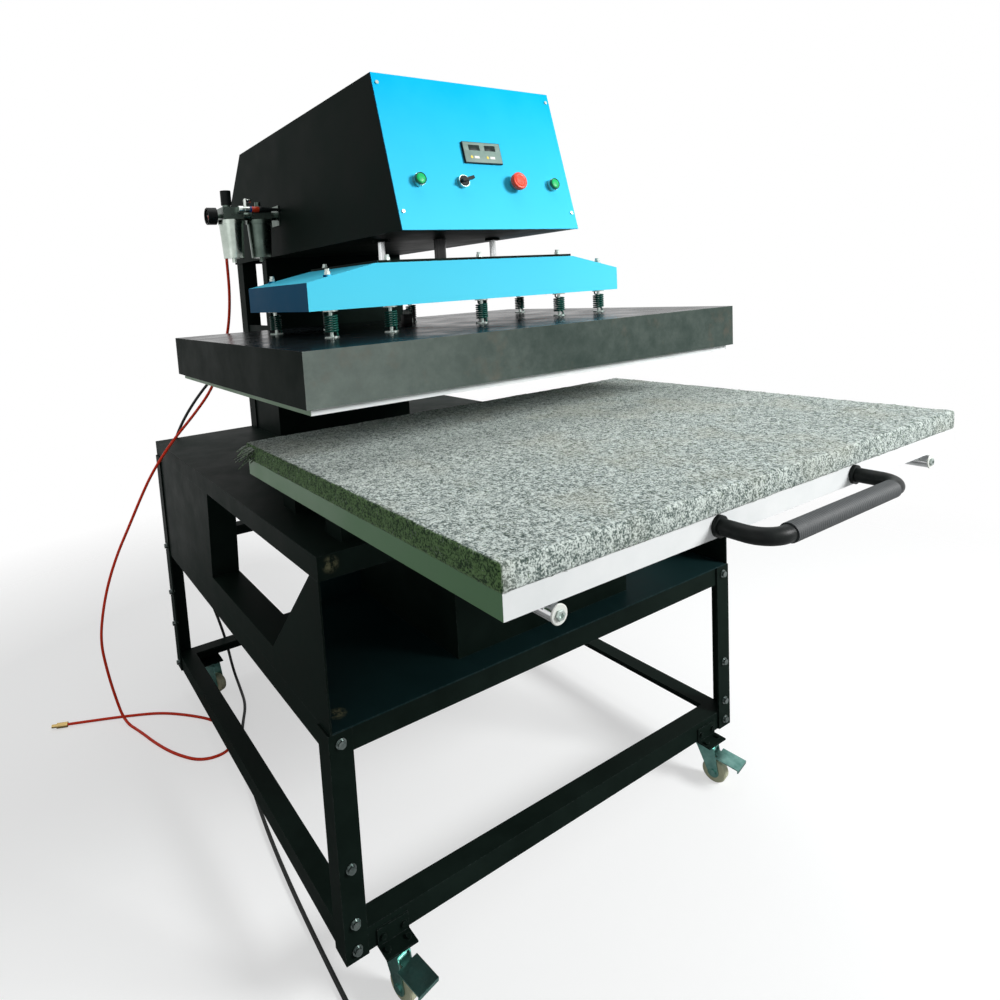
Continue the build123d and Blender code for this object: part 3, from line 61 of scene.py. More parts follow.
# Camera at the photograph's angle
camera_place = Vector((-1.0654, -1.5075, 1.4106))
camera_right = Vector((0.8409, -0.5376, -0.0616))
camera_up = Vector((0.1111, 0.0601, 0.9920))
camera_back = Vector((-0.5296, -0.8411, 0.1103))
camera_data = bpy.data.cameras.new("photo_camera")
camera_data.sensor_width = 36.0
camera_data.lens = 24.685
camera_data.shift_x = 0.0772
camera_data.shift_y = -0.1338
camera = bpy.data.objects.new("photo_camera", camera_data)
scene.collection.objects.link(camera)
turn = Matrix((camera_right, camera_up, camera_back)).transposed()
camera.matrix_world = Matrix.Translation(camera_place) @ turn.to_4x4()
scene.camera = camera
scene.view_settings.view_transform = "Standard"

# Sizes that the solids also have
floor_gap = 0.0006
hose_radius = 0.0045
cable_radius = 0.005
connector_radius = 0.009
elbow_end = (-0.420, 0.608, 1.639)
gland_end = (-0.286, 0.971, 1.198)
coil_outer_radius = 0.066
coil_pitch = 0.0108
coil_loops = 2
coil_tail = 0.060


def new_object(name, mesh):
    """A named object in the scene."""
    made = bpy.data.objects.new(name, mesh)
    scene.collection.objects.link(made)
    return made


def smooth_cord(name, route, radius):
    """A round cord whose smooth line has the route's points as its control points."""
    curve = bpy.data.curves.new(name, "CURVE")
    curve.dimensions = "3D"
    curve.bevel_depth = 1.0
    curve.bevel_resolution = 5
    curve.resolution_u = 10
    curve.use_fill_caps = True
    line = curve.splines.new("NURBS")
    line.points.add(len(route) - 1)
    for point, place in zip(line.points, route):
        point.co = (*place, 1.0)
        point.radius = radius
    line.order_u = 3
    line.use_endpoint_u = True
    return new_object(name, curve)


# Air hose
hose_floor = hose_radius + floor_gap
hose_fall = [
    (-0.420, 0.608, 1.535), (-0.415, 0.625, 1.430), (-0.420, 0.655, 1.325), (-0.440, 0.692, 1.230),
    (-0.470, 0.725, 1.135), (-0.530, 0.750, 1.055), (-0.600, 0.770, 0.978), (-0.664, 0.800, 0.8845),
    (-0.705, 0.825, 0.7997), (-0.745, 0.855, 0.7054), (-0.785, 0.885, 0.6148), (-0.820, 0.910, 0.5149),
    (-0.845, 0.925, 0.4149), (-0.860, 0.940, 0.3102), (-0.850, 0.950, 0.2046), (-0.835, 0.960, 0.1047),
]
hose_on_floor = [
    (-0.815, 0.945), (-0.780, 0.850), (-0.750, 0.750), (-0.710, 0.655), (-0.650, 0.570), (-0.560, 0.565),
    (-0.535, 0.660), (-0.560, 0.760), (-0.625, 0.845), (-0.700, 0.920), (-0.790, 0.970), (-0.885, 1.015),
]
hose_route = [elbow_end] + hose_fall + [(x, y, hose_floor) for x, y in hose_on_floor]
hose_route.append((-0.980, 1.048, connector_radius + floor_gap))
air_hose = smooth_cord("air_hose_line", hose_route, hose_radius)
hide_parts("air_hose")
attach(air_hose, "frame")

# Power cable with its coil
cable_floor = cable_radius + floor_gap
cable_fall = [
    (-0.312, 0.971, 1.198), (-0.385, 0.980, 1.155), (-0.460, 0.990, 1.075), (-0.520, 1.005, 0.985),
    (-0.560, 1.020, 0.8845), (-0.570, 1.023, 0.7799), (-0.562, 1.020, 0.6695), (-0.545, 1.016, 0.5601),
    (-0.517, 1.015, 0.4545), (-0.485, 1.013, 0.3499), (-0.455, 1.015, 0.2452), (-0.433, 1.008, 0.1396),
    (-0.425, 0.980, 0.0368),
]
cable_on_floor = [
    (-0.430, 0.883), (-0.446, 0.776), (-0.490, 0.676), (-0.526, 0.575), (-0.547, 0.467), (-0.562, 0.359),
    (-0.575, 0.250), (-0.586, 0.142), (-0.594, 0.033), (-0.600, -0.076), (-0.604, -0.185),
    (-0.607, -0.295), (-0.609, -0.400), (-0.612, -0.500),
]


def eased(share):
    """A smooth step from nought to one."""
    share = min(1.0, max(0.0, share))
    return share * share * (3 - 2 * share)


def coil_place(angle):
    """A place along the spare cable's coil, which spirals in below and out above."""
    climb_start = 2 * math.pi * coil_loops
    climb_end = climb_start + math.pi
    inward = min(angle, climb_end)
    outward = max(0.0, angle - climb_end)
    radius = coil_outer_radius + coil_pitch * (outward - inward) / (2 * math.pi)
    radius += coil_pitch / 2 * eased(outward / math.pi)
    height = cable_floor + coil_pitch * eased((angle - climb_start) / math.pi)
    x = cable_on_floor[-1][0] - coil_outer_radius + radius * math.cos(angle)
    y = cable_on_floor[-1][1] - radius * math.sin(angle)
    return x, y, height


turn_points = 16
coil_angle = 2 * math.pi * (2 * coil_loops + 0.5)
coil_count = round(coil_angle / (2 * math.pi) * turn_points)
cable_route = [gland_end] + cable_fall + [(x, y, cable_floor) for x, y in cable_on_floor]
cable_route += [coil_place(coil_angle * (index + 0.5) / coil_count) for index in range(coil_count)]
coil_end = coil_place(coil_angle)
cable_route.append(coil_end)
cable_route.append((coil_end[0], coil_end[1] + coil_tail, coil_end[2]))
power_cable = smooth_cord("power_cable_line", cable_route, cable_radius)
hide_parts("power_cable", "cable_coil")
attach(power_cable, "frame")

# Shader groups that several finishes share
worn_edge_radius = 0.0016


def new_group(name, inputs, outputs):
    """An empty shader group with named sockets."""
    group = bpy.data.node_groups.new(name, "ShaderNodeTree")
    for label, kind, value in inputs:
        socket = group.interface.new_socket(name=label, in_out="INPUT", socket_type="NodeSocket" + kind)
        socket.default_value = value
    for label, kind in outputs:
        group.interface.new_socket(name=label, in_out="OUTPUT", socket_type="NodeSocket" + kind)
    return group, group.nodes.new("NodeGroupInput"), group.nodes.new("NodeGroupOutput")


def noise(tree, vector, scale, detail, rough=0.5):
    """A noise texture on a vector. Its scale may be a socket or a number."""
    made = tree.nodes.new("ShaderNodeTexNoise")
    made.inputs["Detail"].default_value = detail
    made.inputs["Roughness"].default_value = rough
    tree.links.new(vector, made.inputs["Vector"])
    if isinstance(scale, (int, float)):
        made.inputs["Scale"].default_value = scale
    else:
        tree.links.new(scale, made.inputs["Scale"])
    return made


def span(tree, value, low, high, out_low=0.0, out_high=1.0):
    """A value taken from one stretch to another."""
    made = tree.nodes.new("ShaderNodeMapRange")
    made.inputs["From Min"].default_value = low
    made.inputs["From Max"].default_value = high
    made.inputs["To Min"].default_value = out_low
    made.inputs["To Max"].default_value = out_high
    tree.links.new(value, made.inputs["Value"])
    return made.outputs["Result"]


def mixed(tree, share, first, second):
    """One colour mixed into another. Each may be a socket or a plain colour."""
    made = tree.nodes.new("ShaderNodeMix")
    made.data_type = "RGBA"
    tree.links.new(share, made.inputs[0])
    for slot, colour in ((6, first), (7, second)):
        if isinstance(colour, tuple):
            made.inputs[slot].default_value = (*colour, 1.0)
        else:
            tree.links.new(colour, made.inputs[slot])
    return made.outputs[2]


def maths(tree, operation, first, second=None):
    """Simple arithmetic on sockets or numbers."""
    made = tree.nodes.new("ShaderNodeMath")
    made.operation = operation
    for slot, value in enumerate((first, second)):
        if value is None:
            continue
        if isinstance(value, (int, float)):
            made.inputs[slot].default_value = value
        else:
            tree.links.new(value, made.inputs[slot])
    return made.outputs[0]


def make_skin_group():
    """Orange peel of a sprayed or powder-coated skin, with handling marks."""
    group, given, put = new_group(
        "coated_skin",
        [("Peel Scale", "Float", 700.0), ("Rub Scale", "Float", 9.0), ("Base Roughness", "Float", 0.4),
         ("Roughness Spread", "Float", 0.12)],
        [("Height", "Float"), ("Roughness", "Float"), ("Rub", "Float")],
    )
    where = group.nodes.new("ShaderNodeTexCoord").outputs["Object"]
    peel = noise(group, where, given.outputs["Peel Scale"], 2.0)
    rub = noise(group, where, given.outputs["Rub Scale"], 6.0, 0.62)
    share = span(group, rub.outputs[0], 0.35, 0.7)
    spread = maths(group, "MULTIPLY", share, given.outputs["Roughness Spread"])
    group.links.new(peel.outputs[0], put.inputs["Height"])
    group.links.new(maths(group, "ADD", spread, given.outputs["Base Roughness"]), put.inputs["Roughness"])
    group.links.new(share, put.inputs["Rub"])
    return group


def make_edge_group():
    """A mask for worn edges."""
    group, given, put = new_group(
        "worn_edges", [("Amount", "Float", 0.5)], [("Mask", "Float")],
    )
    shape = group.nodes.new("ShaderNodeNewGeometry")
    rounded = group.nodes.new("ShaderNodeBevel")
    rounded.samples = 4
    rounded.inputs["Radius"].default_value = worn_edge_radius
    turn_away = group.nodes.new("ShaderNodeVectorMath")
    turn_away.operation = "DOT_PRODUCT"
    group.links.new(shape.outputs["Normal"], turn_away.inputs[0])
    group.links.new(rounded.outputs["Normal"], turn_away.inputs[1])
    where = group.nodes.new("ShaderNodeTexCoord").outputs["Object"]
    chips = noise(group, where, 120.0, 4.0, 0.7)
    edge = span(group, turn_away.outputs["Value"], 0.985, 0.90)
    chipped = span(group, chips.outputs[0], 0.42, 0.68)
    worn = maths(group, "MULTIPLY", edge, chipped)
    group.links.new(maths(group, "MULTIPLY", worn, given.outputs["Amount"]), put.inputs["Mask"])
    return group


def make_facing_group():
    """Masks for the faces that look sideways, where finishes paint shade, and the faces that look up."""
    group, _, put = new_group("facing", [], [("Sideways", "Float"), ("Upward", "Float")])
    shape = group.nodes.new("ShaderNodeNewGeometry")
    split = group.nodes.new("ShaderNodeSeparateXYZ")
    group.links.new(shape.outputs["True Normal"], split.inputs[0])
    sideways = maths(group, "ABSOLUTE", split.outputs[0])
    group.links.new(span(group, sideways, 0.2, 0.7), put.inputs["Sideways"])
    group.links.new(span(group, split.outputs[2], 0.5, 0.8), put.inputs["Upward"])
    return group


def make_patch_group():
    """A mask for one smeared patch round a place."""
    group, given, put = new_group(
        "smeared_patch",
        [("Place", "Vector", (0.0, 0.0, 0.0)), ("Size", "Float", 0.03)],
        [("Mask", "Float")],
    )
    where = group.nodes.new("ShaderNodeTexCoord").outputs["Object"]
    away = group.nodes.new("ShaderNodeVectorMath")
    away.operation = "DISTANCE"
    group.links.new(where, away.inputs[0])
    group.links.new(given.outputs["Place"], away.inputs[1])
    share = maths(group, "DIVIDE", away.outputs["Value"], given.outputs["Size"])
    ragged = noise(group, where, 90.0, 4.0, 0.65)
    near = span(group, share, 1.0, 0.45)
    smear = maths(group, "MULTIPLY", near, span(group, ragged.outputs[0], 0.4, 0.6))
    group.links.new(smear, put.inputs["Mask"])
    return group


skin_group = make_skin_group()
edge_group = make_edge_group()
facing_group = make_facing_group()
patch_group = make_patch_group()


def new_finish(name):
    """A material with its shader."""
    material = bpy.data.materials.new(name)
    material.use_nodes = True
    return material, material.node_tree, material.node_tree.nodes["Principled BSDF"]


def placed(tree, group, **values):
    """A shader group placed in a material with its own values."""
    made = tree.nodes.new("ShaderNodeGroup")
    made.node_tree = group
    for label, value in values.items():
        made.inputs[label.replace("_", " ")].default_value = value
    return made


def bumped(tree, shader, height, strength, distance):
    """Relief on a surface."""
    made = tree.nodes.new("ShaderNodeBump")
    made.inputs["Strength"].default_value = strength
    made.inputs["Distance"].default_value = distance
    tree.links.new(height, made.inputs["Height"])
    tree.links.new(made.outputs["Normal"], shader.inputs["Normal"])


# Finishes. Relief is how deep a bump reads. The cyan paint pales between two heights, a painted light,
# and the platen's front darkens between two places along x, away from a painted highlight at its left end.
paint_relief = 0.0003
metal_relief = 0.0002
painted_light_start = 1.90
painted_light_full = 1.40
platen_highlight_x = -0.50
platen_highlight_fade_x = -0.05
bare_edge = (0.20, 0.22, 0.22)


def painted(
    name, colour, rubbed, roughness, gloss=0.5, peel=0.1, worn=0.0, faded_and_lit=None, side=None, stains=(),
):
    """Paint over metal: orange peel, rubbed patches, worn edges, painted light low down, painted shade on
    side faces.
    """
    material, tree, shader = new_finish(name)
    skin = placed(tree, skin_group, Base_Roughness=roughness)
    shade = mixed(tree, skin.outputs["Rub"], colour, rubbed)
    # Painted light: the colour pales towards the foot, between two heights
    if faded_and_lit:
        split = tree.nodes.new("ShaderNodeSeparateXYZ")
        tree.links.new(tree.nodes.new("ShaderNodeTexCoord").outputs["Object"], split.inputs[0])
        shade = mixed(tree, span(tree, split.outputs[2], painted_light_start, painted_light_full), shade, faded_and_lit)
    # Painted shade: a darker colour on the faces that look sideways
    if side:
        facing = placed(tree, facing_group)
        shade = mixed(tree, facing.outputs["Sideways"], shade, side)
    for place, size, stain in stains:
        patch = placed(tree, patch_group, Place=place, Size=size)
        shade = mixed(tree, patch.outputs["Mask"], shade, stain)
    if worn:
        edges = placed(tree, edge_group, Amount=worn)
        shade = mixed(tree, edges.outputs["Mask"], shade, bare_edge)
    tree.links.new(shade, shader.inputs["Base Color"])
    tree.links.new(skin.outputs["Roughness"], shader.inputs["Roughness"])
    shader.inputs["Specular IOR Level"].default_value = gloss
    bumped(tree, shader, skin.outputs["Height"], peel, paint_relief)
    return material


def bare_metal(name, colour, stained, roughness, rub_scale=40.0):
    """Plated or bare metal with faint stains."""
    material, tree, shader = new_finish(name)
    skin = placed(tree, skin_group, Base_Roughness=roughness, Peel_Scale=1400.0, Rub_Scale=rub_scale)
    tree.links.new(mixed(tree, skin.outputs["Rub"], colour, stained), shader.inputs["Base Color"])
    tree.links.new(skin.outputs["Roughness"], shader.inputs["Roughness"])
    shader.inputs["Metallic"].default_value = 1.0
    bumped(tree, shader, skin.outputs["Height"], 0.12, metal_relief)
    return material


def moulded(name, colour, faded_and_lit, roughness, gloss=0.5):
    """Moulded plastic or rubber."""
    material, tree, shader = new_finish(name)
    skin = placed(tree, skin_group, Base_Roughness=roughness, Peel_Scale=1800.0, Rub_Scale=60.0)
    tree.links.new(mixed(tree, skin.outputs["Rub"], colour, faded_and_lit), shader.inputs["Base Color"])
    tree.links.new(skin.outputs["Roughness"], shader.inputs["Roughness"])
    shader.inputs["Specular IOR Level"].default_value = gloss
    bumped(tree, shader, skin.outputs["Height"], 0.1, metal_relief)
    return material


def pressed_felt(name):
    """Coarse grey recycled felt: pale and dark fibres in clumps, with painted shade darker and greener on
    its sides.
    """
    material, tree, shader = new_finish(name)
    where = tree.nodes.new("ShaderNodeTexCoord").outputs["Object"]
    fine = noise(tree, where, 330.0, 2.0, 0.6)
    clumps = noise(tree, where, 130.0, 3.0, 0.6)
    stains = noise(tree, where, 6.0, 3.0, 0.5)
    speckle = maths(tree, "MULTIPLY", fine.outputs[0], 0.6)
    speckle = maths(tree, "ADD", speckle, maths(tree, "MULTIPLY", clumps.outputs[0], 0.4))
    contrast = span(tree, speckle, 0.43, 0.57)
    stained = span(tree, stains.outputs[0], 0.5, 0.75, 0.0, 0.35)
    top_shade = mixed(tree, contrast, (0.085, 0.120, 0.108), (0.64, 0.71, 0.67))
    top_shade = mixed(tree, stained, top_shade, (0.42, 0.40, 0.29))
    # Painted shade: the pad's sides darker and greener than its top
    painted_side_shade = mixed(tree, contrast, (0.012, 0.042, 0.012), (0.16, 0.29, 0.11))
    facing = placed(tree, facing_group)
    shade = mixed(tree, facing.outputs["Sideways"], top_shade, painted_side_shade)
    tree.links.new(shade, shader.inputs["Base Color"])
    shader.inputs["Roughness"].default_value = 0.95
    shader.inputs["Specular IOR Level"].default_value = 0.1
    shader.inputs["Sheen Weight"].default_value = 0.15
    bumped(tree, shader, speckle, 0.7, 0.003)
    return material


def rolled_platen(name):
    """Blued steel cover: mottled front, painted highlight at the left end, painted shade on sides, glossy
    black top.
    """
    material, tree, shader = new_finish(name)
    where = tree.nodes.new("ShaderNodeTexCoord").outputs["Object"]
    skin = placed(tree, skin_group, Base_Roughness=0.18)
    cloud = noise(tree, where, 5.0, 5.0, 0.6)
    grain = noise(tree, where, 28.0, 6.0, 0.7)
    blotch = maths(tree, "MULTIPLY", cloud.outputs[0], grain.outputs[0])
    mottle = span(tree, blotch, 0.15, 0.40)
    # Painted highlight: the front paler at its left end, darker in the middle
    highlit_end = mixed(tree, mottle, (0.115, 0.140, 0.126), (0.165, 0.198, 0.178))
    dark_middle = mixed(tree, mottle, (0.042, 0.060, 0.053), (0.082, 0.104, 0.092))
    split = tree.nodes.new("ShaderNodeSeparateXYZ")
    tree.links.new(where, split.inputs[0])
    along_front = span(tree, split.outputs[0], platen_highlight_x, platen_highlight_fade_x)
    front_shade = mixed(tree, along_front, highlit_end, dark_middle)
    rust = noise(tree, where, 11.0, 4.0, 0.65)
    rusted = span(tree, rust.outputs[0], 0.58, 0.75, 0.0, 0.4)
    front_shade = mixed(tree, rusted, front_shade, (0.15, 0.115, 0.085))
    facing = placed(tree, facing_group)
    # Painted shade: the sides near black
    shade = mixed(tree, facing.outputs["Sideways"], front_shade, (0.002, 0.006, 0.004))
    shade = mixed(tree, facing.outputs["Upward"], shade, (0.006, 0.008, 0.009))
    edges = placed(tree, edge_group, Amount=0.5)
    shade = mixed(tree, edges.outputs["Mask"], shade, (0.30, 0.32, 0.32))
    tree.links.new(shade, shader.inputs["Base Color"])
    matt = span(tree, facing.outputs["Upward"], 0.0, 1.0, 0.32, 0.0)
    tree.links.new(maths(tree, "ADD", skin.outputs["Roughness"], matt), shader.inputs["Roughness"])
    shader.inputs["Specular IOR Level"].default_value = 0.025
    bumped(tree, shader, skin.outputs["Height"], 0.04, metal_relief)
    return material


def rod_finish(name, half_width):
    """Chrome on the outer guide posts and black paint on the rod between them."""
    material, tree, shader = new_finish(name)
    split = tree.nodes.new("ShaderNodeSeparateXYZ")
    tree.links.new(tree.nodes.new("ShaderNodeTexCoord").outputs["Object"], split.inputs[0])
    outer = maths(tree, "GREATER_THAN", maths(tree, "ABSOLUTE", split.outputs[0]), half_width)
    skin = placed(tree, skin_group, Base_Roughness=0.14, Peel_Scale=1400.0, Rub_Scale=40.0)
    shade = mixed(tree, outer, (0.012, 0.015, 0.015), (0.70, 0.72, 0.72))
    tree.links.new(shade, shader.inputs["Base Color"])
    tree.links.new(outer, shader.inputs["Metallic"])
    tree.links.new(skin.outputs["Roughness"], shader.inputs["Roughness"])
    bumped(tree, shader, skin.outputs["Height"], 0.05, metal_relief)
    return material


def ribbed_rubber(name):
    """Dark grey grip rubber with fine rings along the bar."""
    material, tree, shader = new_finish(name)
    where = tree.nodes.new("ShaderNodeTexCoord").outputs["Object"]
    rings = tree.nodes.new("ShaderNodeTexWave")
    rings.wave_type = "BANDS"
    rings.bands_direction = "X"
    rings.inputs["Scale"].default_value = 60.0
    tree.links.new(where, rings.inputs["Vector"])
    skin = placed(tree, skin_group, Base_Roughness=0.55, Rub_Scale=30.0)
    shade = mixed(tree, skin.outputs["Rub"], (0.018, 0.022, 0.024), (0.04, 0.046, 0.048))
    tree.links.new(shade, shader.inputs["Base Color"])
    tree.links.new(skin.outputs["Roughness"], shader.inputs["Roughness"])
    bumped(tree, shader, rings.outputs["Color"], 0.4, 0.0012)
    return material


def smoked_glass(name, colour):
    """Dark clear cover."""
    material, tree, shader = new_finish(name)
    skin = placed(tree, skin_group, Base_Roughness=0.22, Rub_Scale=80.0)
    shade = mixed(tree, skin.outputs["Rub"], colour, tuple(2 * part for part in colour))
    tree.links.new(shade, shader.inputs["Base Color"])
    tree.links.new(skin.outputs["Roughness"], shader.inputs["Roughness"])
    shader.inputs["Specular IOR Level"].default_value = 0.06
    return material


# Chipped paint on the table's flange and the shelf's corner: place, size and the primer's colour
primer = (0.15, 0.15, 0.085)
chipped_places = [((-0.583, -0.384, 0.923), 0.019, primer), ((-0.570, -0.329, 0.598), 0.021, primer)]
finishes = {
    "black_paint": painted(
        "black_powder_coat", (0.0045, 0.0090, 0.0070), (0.008, 0.0150, 0.0120), 0.45,
        gloss=0.02, peel=0.05, worn=0.3, stains=chipped_places,
    ),
    # Cyan enamel with painted light paling it low down and painted shade on its side faces
    "cyan_paint": painted(
        "cyan_enamel", (0.003, 0.48, 0.84), (0.008, 0.51, 0.86), 0.34,
        gloss=0.015, worn=0.3, faded_and_lit=(0.105, 0.73, 0.97), side=(0.0, 0.125, 0.27),
    ),
    "cover_black": rolled_platen("blued_platen"),
    "zinc": bare_metal("zinc_plate", (0.50, 0.56, 0.53), (0.30, 0.38, 0.35), 0.26),
    "chrome_steel": bare_metal("ground_chrome", (0.70, 0.71, 0.72), (0.60, 0.61, 0.62), 0.12),
    # Satin aluminium with painted shade, tinted green, on its side faces
    "white_aluminium": painted(
        "satin_aluminium", (0.82, 0.84, 0.84), (0.74, 0.77, 0.77), 0.36,
        gloss=0.25, worn=0.15, side=(0.11, 0.24, 0.115),
    ),
    "spring_green": painted("spring_paint", (0.002, 0.065, 0.048), (0.005, 0.09, 0.068), 0.3, gloss=0.2),
    "felt": pressed_felt("recycled_felt"),
    "mineral_wool": moulded("pressed_board", (0.5, 0.46, 0.36), (0.4, 0.37, 0.3), 0.9),
    "black_plastic": moulded(
        "black_plastic", (0.007, 0.009, 0.009), (0.013, 0.016, 0.015), 0.34, gloss=0.12,
    ),
    "grip_rubber": ribbed_rubber("grip_rubber"),
    "red_plastic": moulded("red_plastic", (0.82, 0.050, 0.014), (0.86, 0.075, 0.026), 0.2, gloss=0.35),
    "green_plastic": moulded("green_plastic", (0.0, 0.48, 0.13), (0.01, 0.54, 0.16), 0.25, gloss=0.2),
    "yellow_plastic": moulded("yellow_plastic", (0.72, 0.56, 0.03), (0.78, 0.62, 0.06), 0.35),
    "grey_plastic": moulded("grey_plastic", (0.19, 0.28, 0.245), (0.23, 0.33, 0.29), 0.4, gloss=0.2),
    "cast_metal": bare_metal("die_cast", (0.50, 0.56, 0.51), (0.38, 0.44, 0.39), 0.17, rub_scale=25.0),
    "cream_nylon": moulded("cream_nylon", (0.62, 0.62, 0.42), (0.50, 0.52, 0.36), 0.4),
    "red_hose": moulded("red_hose", (1.0, 0.045, 0.012), (1.0, 0.065, 0.020), 0.3, gloss=0.2),
    "cable_jacket": moulded("cable_jacket", (0.008, 0.010, 0.009), (0.014, 0.017, 0.015), 0.45, gloss=0.3),
    "brass_fitting": bare_metal("turned_brass", (0.60, 0.44, 0.18), (0.5, 0.36, 0.15), 0.3),
}
chrome_and_black = rod_finish("posts_and_rod", half_width=0.1)
dark_zinc = bare_metal("dark_zinc", (0.26, 0.30, 0.29), (0.10, 0.13, 0.125), 0.25, rub_scale=70.0)
teal_zinc = bare_metal("teal_zinc", (0.22, 0.42, 0.38), (0.10, 0.25, 0.22), 0.28, rub_scale=35.0)
dull_cast = bare_metal("dull_cast", (0.11, 0.145, 0.125), (0.07, 0.095, 0.08), 0.26, rub_scale=25.0)
dark_green = moulded("dark_green_plastic", (0.0, 0.075, 0.022), (0.004, 0.10, 0.03), 0.25)
display_glass = smoked_glass("display_glass", (0.016, 0.024, 0.022))
collar_blue = moulded("collar_blue", (0.01, 0.05, 0.30), (0.02, 0.08, 0.36), 0.3)
shelf_paint = painted(
    "teal_black_paint", (0.006, 0.019, 0.020), (0.009, 0.026, 0.027), 0.45,
    gloss=0.02, peel=0.05, worn=0.3, stains=chipped_places,
)
own_finishes = {
    "guide_posts": chrome_and_black, "frame_bolts": dark_zinc, "shelf_plate": shelf_paint,
    "frl_body": dull_cast, "oiler_bowl": dull_cast,
}


def give(piece, material):
    """Gives a piece one finish all over."""
    slots = piece.data.materials
    if not slots:
        slots.append(material)
    for index in range(len(slots)):
        slots[index] = material


node_slots = {entry["node"]: entry["material_slot"] for entry in frame["record"]["subparts"]}
for node_name, node in nodes.items():
    if node_name.startswith(("caster_fork", "brake_pedal")):
        give(node, teal_zinc)
    else:
        give(node, own_finishes.get(node_name, finishes[node_slots[node_name]]))
give(air_hose, finishes["red_hose"])
give(power_cable, finishes["cable_jacket"])


# Shapes that the small pieces are made of


def add_turned(bm, profile, place, steps=32, closed=False):
    """A turned shape: pairs of radius and height about the place's own upright axis."""
    rings = []
    for radius, height in profile:
        if radius == 0:
            rings.append([bm.verts.new(place @ Vector((0.0, 0.0, height)))])
            continue
        ring = []
        for step in range(steps):
            angle = 2 * math.pi * step / steps
            point = Vector((radius * math.cos(angle), radius * math.sin(angle), height))
            ring.append(bm.verts.new(place @ point))
        rings.append(ring)
    pairs = list(zip(rings, rings[1:]))
    if closed:
        pairs.append((rings[-1], rings[0]))
    for first, second in pairs:
        for step in range(steps):
            after = (step + 1) % steps
            corners = [first[step % len(first)], first[after % len(first)]]
            corners += [second[after % len(second)], second[step % len(second)]]
            unique = list(dict.fromkeys(corners))
            if len(unique) > 2:
                bm.faces.new(unique)


def add_block(bm, size, place, edge):
    """A block with rounded edges about the middle of the place."""
    made = bmesh.ops.create_cube(bm, size=1.0, matrix=place @ Matrix.Diagonal((*size, 1.0)))
    corners = set(made["verts"])
    edges = [line for line in bm.edges if line.verts[0] in corners and line.verts[1] in corners]
    bmesh.ops.bevel(bm, geom=edges, offset=edge, segments=2, profile=0.5, affect="EDGES")


def aimed(start, end):
    """A place at the start, with its upright axis towards the end."""
    way = Vector(end) - Vector(start)
    return Matrix.Translation(start) @ way.to_track_quat("Z", "Y").to_matrix().to_4x4()


def shaped(name, bm, material, crease=35.0):
    """Turns a mesh's faces outwards and makes it a piece with one finish."""
    bmesh.ops.recalc_face_normals(bm, faces=bm.faces)
    mesh = bpy.data.meshes.new(name)
    bm.to_mesh(mesh)
    bm.free()
    mesh.shade_smooth()
    mesh.set_sharp_from_angle(angle=math.radians(crease))
    piece = new_object(name, mesh)
    give(piece, material)
    return piece


def finished(name, bm, material, body, crease=35.0):
    """A shaped piece riding on its body."""
    piece = shaped(name, bm, material, crease)
    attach(piece, body)
    return piece


def keep_result(piece):
    """Keeps the result of a piece's modifiers as its plain mesh."""
    evaluated = piece.evaluated_get(bpy.context.evaluated_depsgraph_get())
    mesh = bpy.data.meshes.new_from_object(evaluated)
    piece.modifiers.clear()
    piece.data = mesh


# Springs between the beam and the platen, with fewer faces, riding on the beam
spring_face_share = 0.45
coil_mesh = bmesh.new()
coil_mesh.from_mesh(nodes["press_springs"].data)
bmesh.ops.remove_doubles(coil_mesh, verts=coil_mesh.verts, dist=0.00001)
springs = shaped("sprung_coils", coil_mesh, finishes["spring_green"])
fewer_faces = springs.modifiers.new("fewer_faces", "DECIMATE")
fewer_faces.ratio = spring_face_share
keep_result(springs)
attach(springs, "press_beam")
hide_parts("press_springs")
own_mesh(springs)

# Felt pad on the bed
pad_low = Vector((-0.603, -0.912, 1.059))
pad_high = Vector((0.603, -0.006, 1.0958))
pad_edge = 0.005
pad_step = 0.012
fine_relief = 0.0007
fine_scale = 90.0
broad_relief = 0.0012
broad_scale = 14.0


def stops(low, high):
    """Places along one side of the pad, close together near its edges."""
    length = high - low - 2 * pad_edge
    count = max(2, round(length / pad_step))
    inner = [low + pad_edge + length * index / count for index in range(count + 1)]
    return [low, low + pad_edge / 2] + inner + [high - pad_edge / 2, high]


def add_side(bm, axis, level, spans):
    """One flat side of the pad as a grid."""
    others = [index for index in range(3) if index != axis]
    rows = []
    for first in spans[others[0]]:
        row = []
        for second in spans[others[1]]:
            point = [0.0, 0.0, 0.0]
            point[axis] = level
            point[others[0]] = first
            point[others[1]] = second
            row.append(bm.verts.new(point))
        rows.append(row)
    for row, after in zip(rows, rows[1:]):
        for index in range(len(row) - 1):
            bm.faces.new((row[index], row[index + 1], after[index + 1], after[index]))


def pad_point(point):
    """A point of the pad's box moved to its rounded and uneven skin."""
    sides = zip(point, pad_low, pad_high)
    inner = Vector([min(max(value, low + pad_edge), high - pad_edge) for value, low, high in sides])
    away = (point - inner).normalized()
    if point.z < pad_low.z + pad_edge:
        inner.z = point.z
        away.z = 0.0
    rough = fine_relief * turbulence(point * fine_scale, 3, False)
    rough += broad_relief * turbulence(point * broad_scale, 2, False)
    return inner + away * (pad_edge - rough)


pad_mesh = bmesh.new()
pad_spans = [stops(low, high) for low, high in zip(pad_low, pad_high)]
for axis in range(3):
    add_side(pad_mesh, axis, pad_low[axis], pad_spans)
    add_side(pad_mesh, axis, pad_high[axis], pad_spans)
bmesh.ops.remove_doubles(pad_mesh, verts=pad_mesh.verts, dist=0.0001)
for corner in pad_mesh.verts:
    corner.co = pad_point(corner.co.copy())
felt_pad = finished("felt_pad", pad_mesh, finishes["felt"], "bed", crease=180.0)
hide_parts("bed_pad")

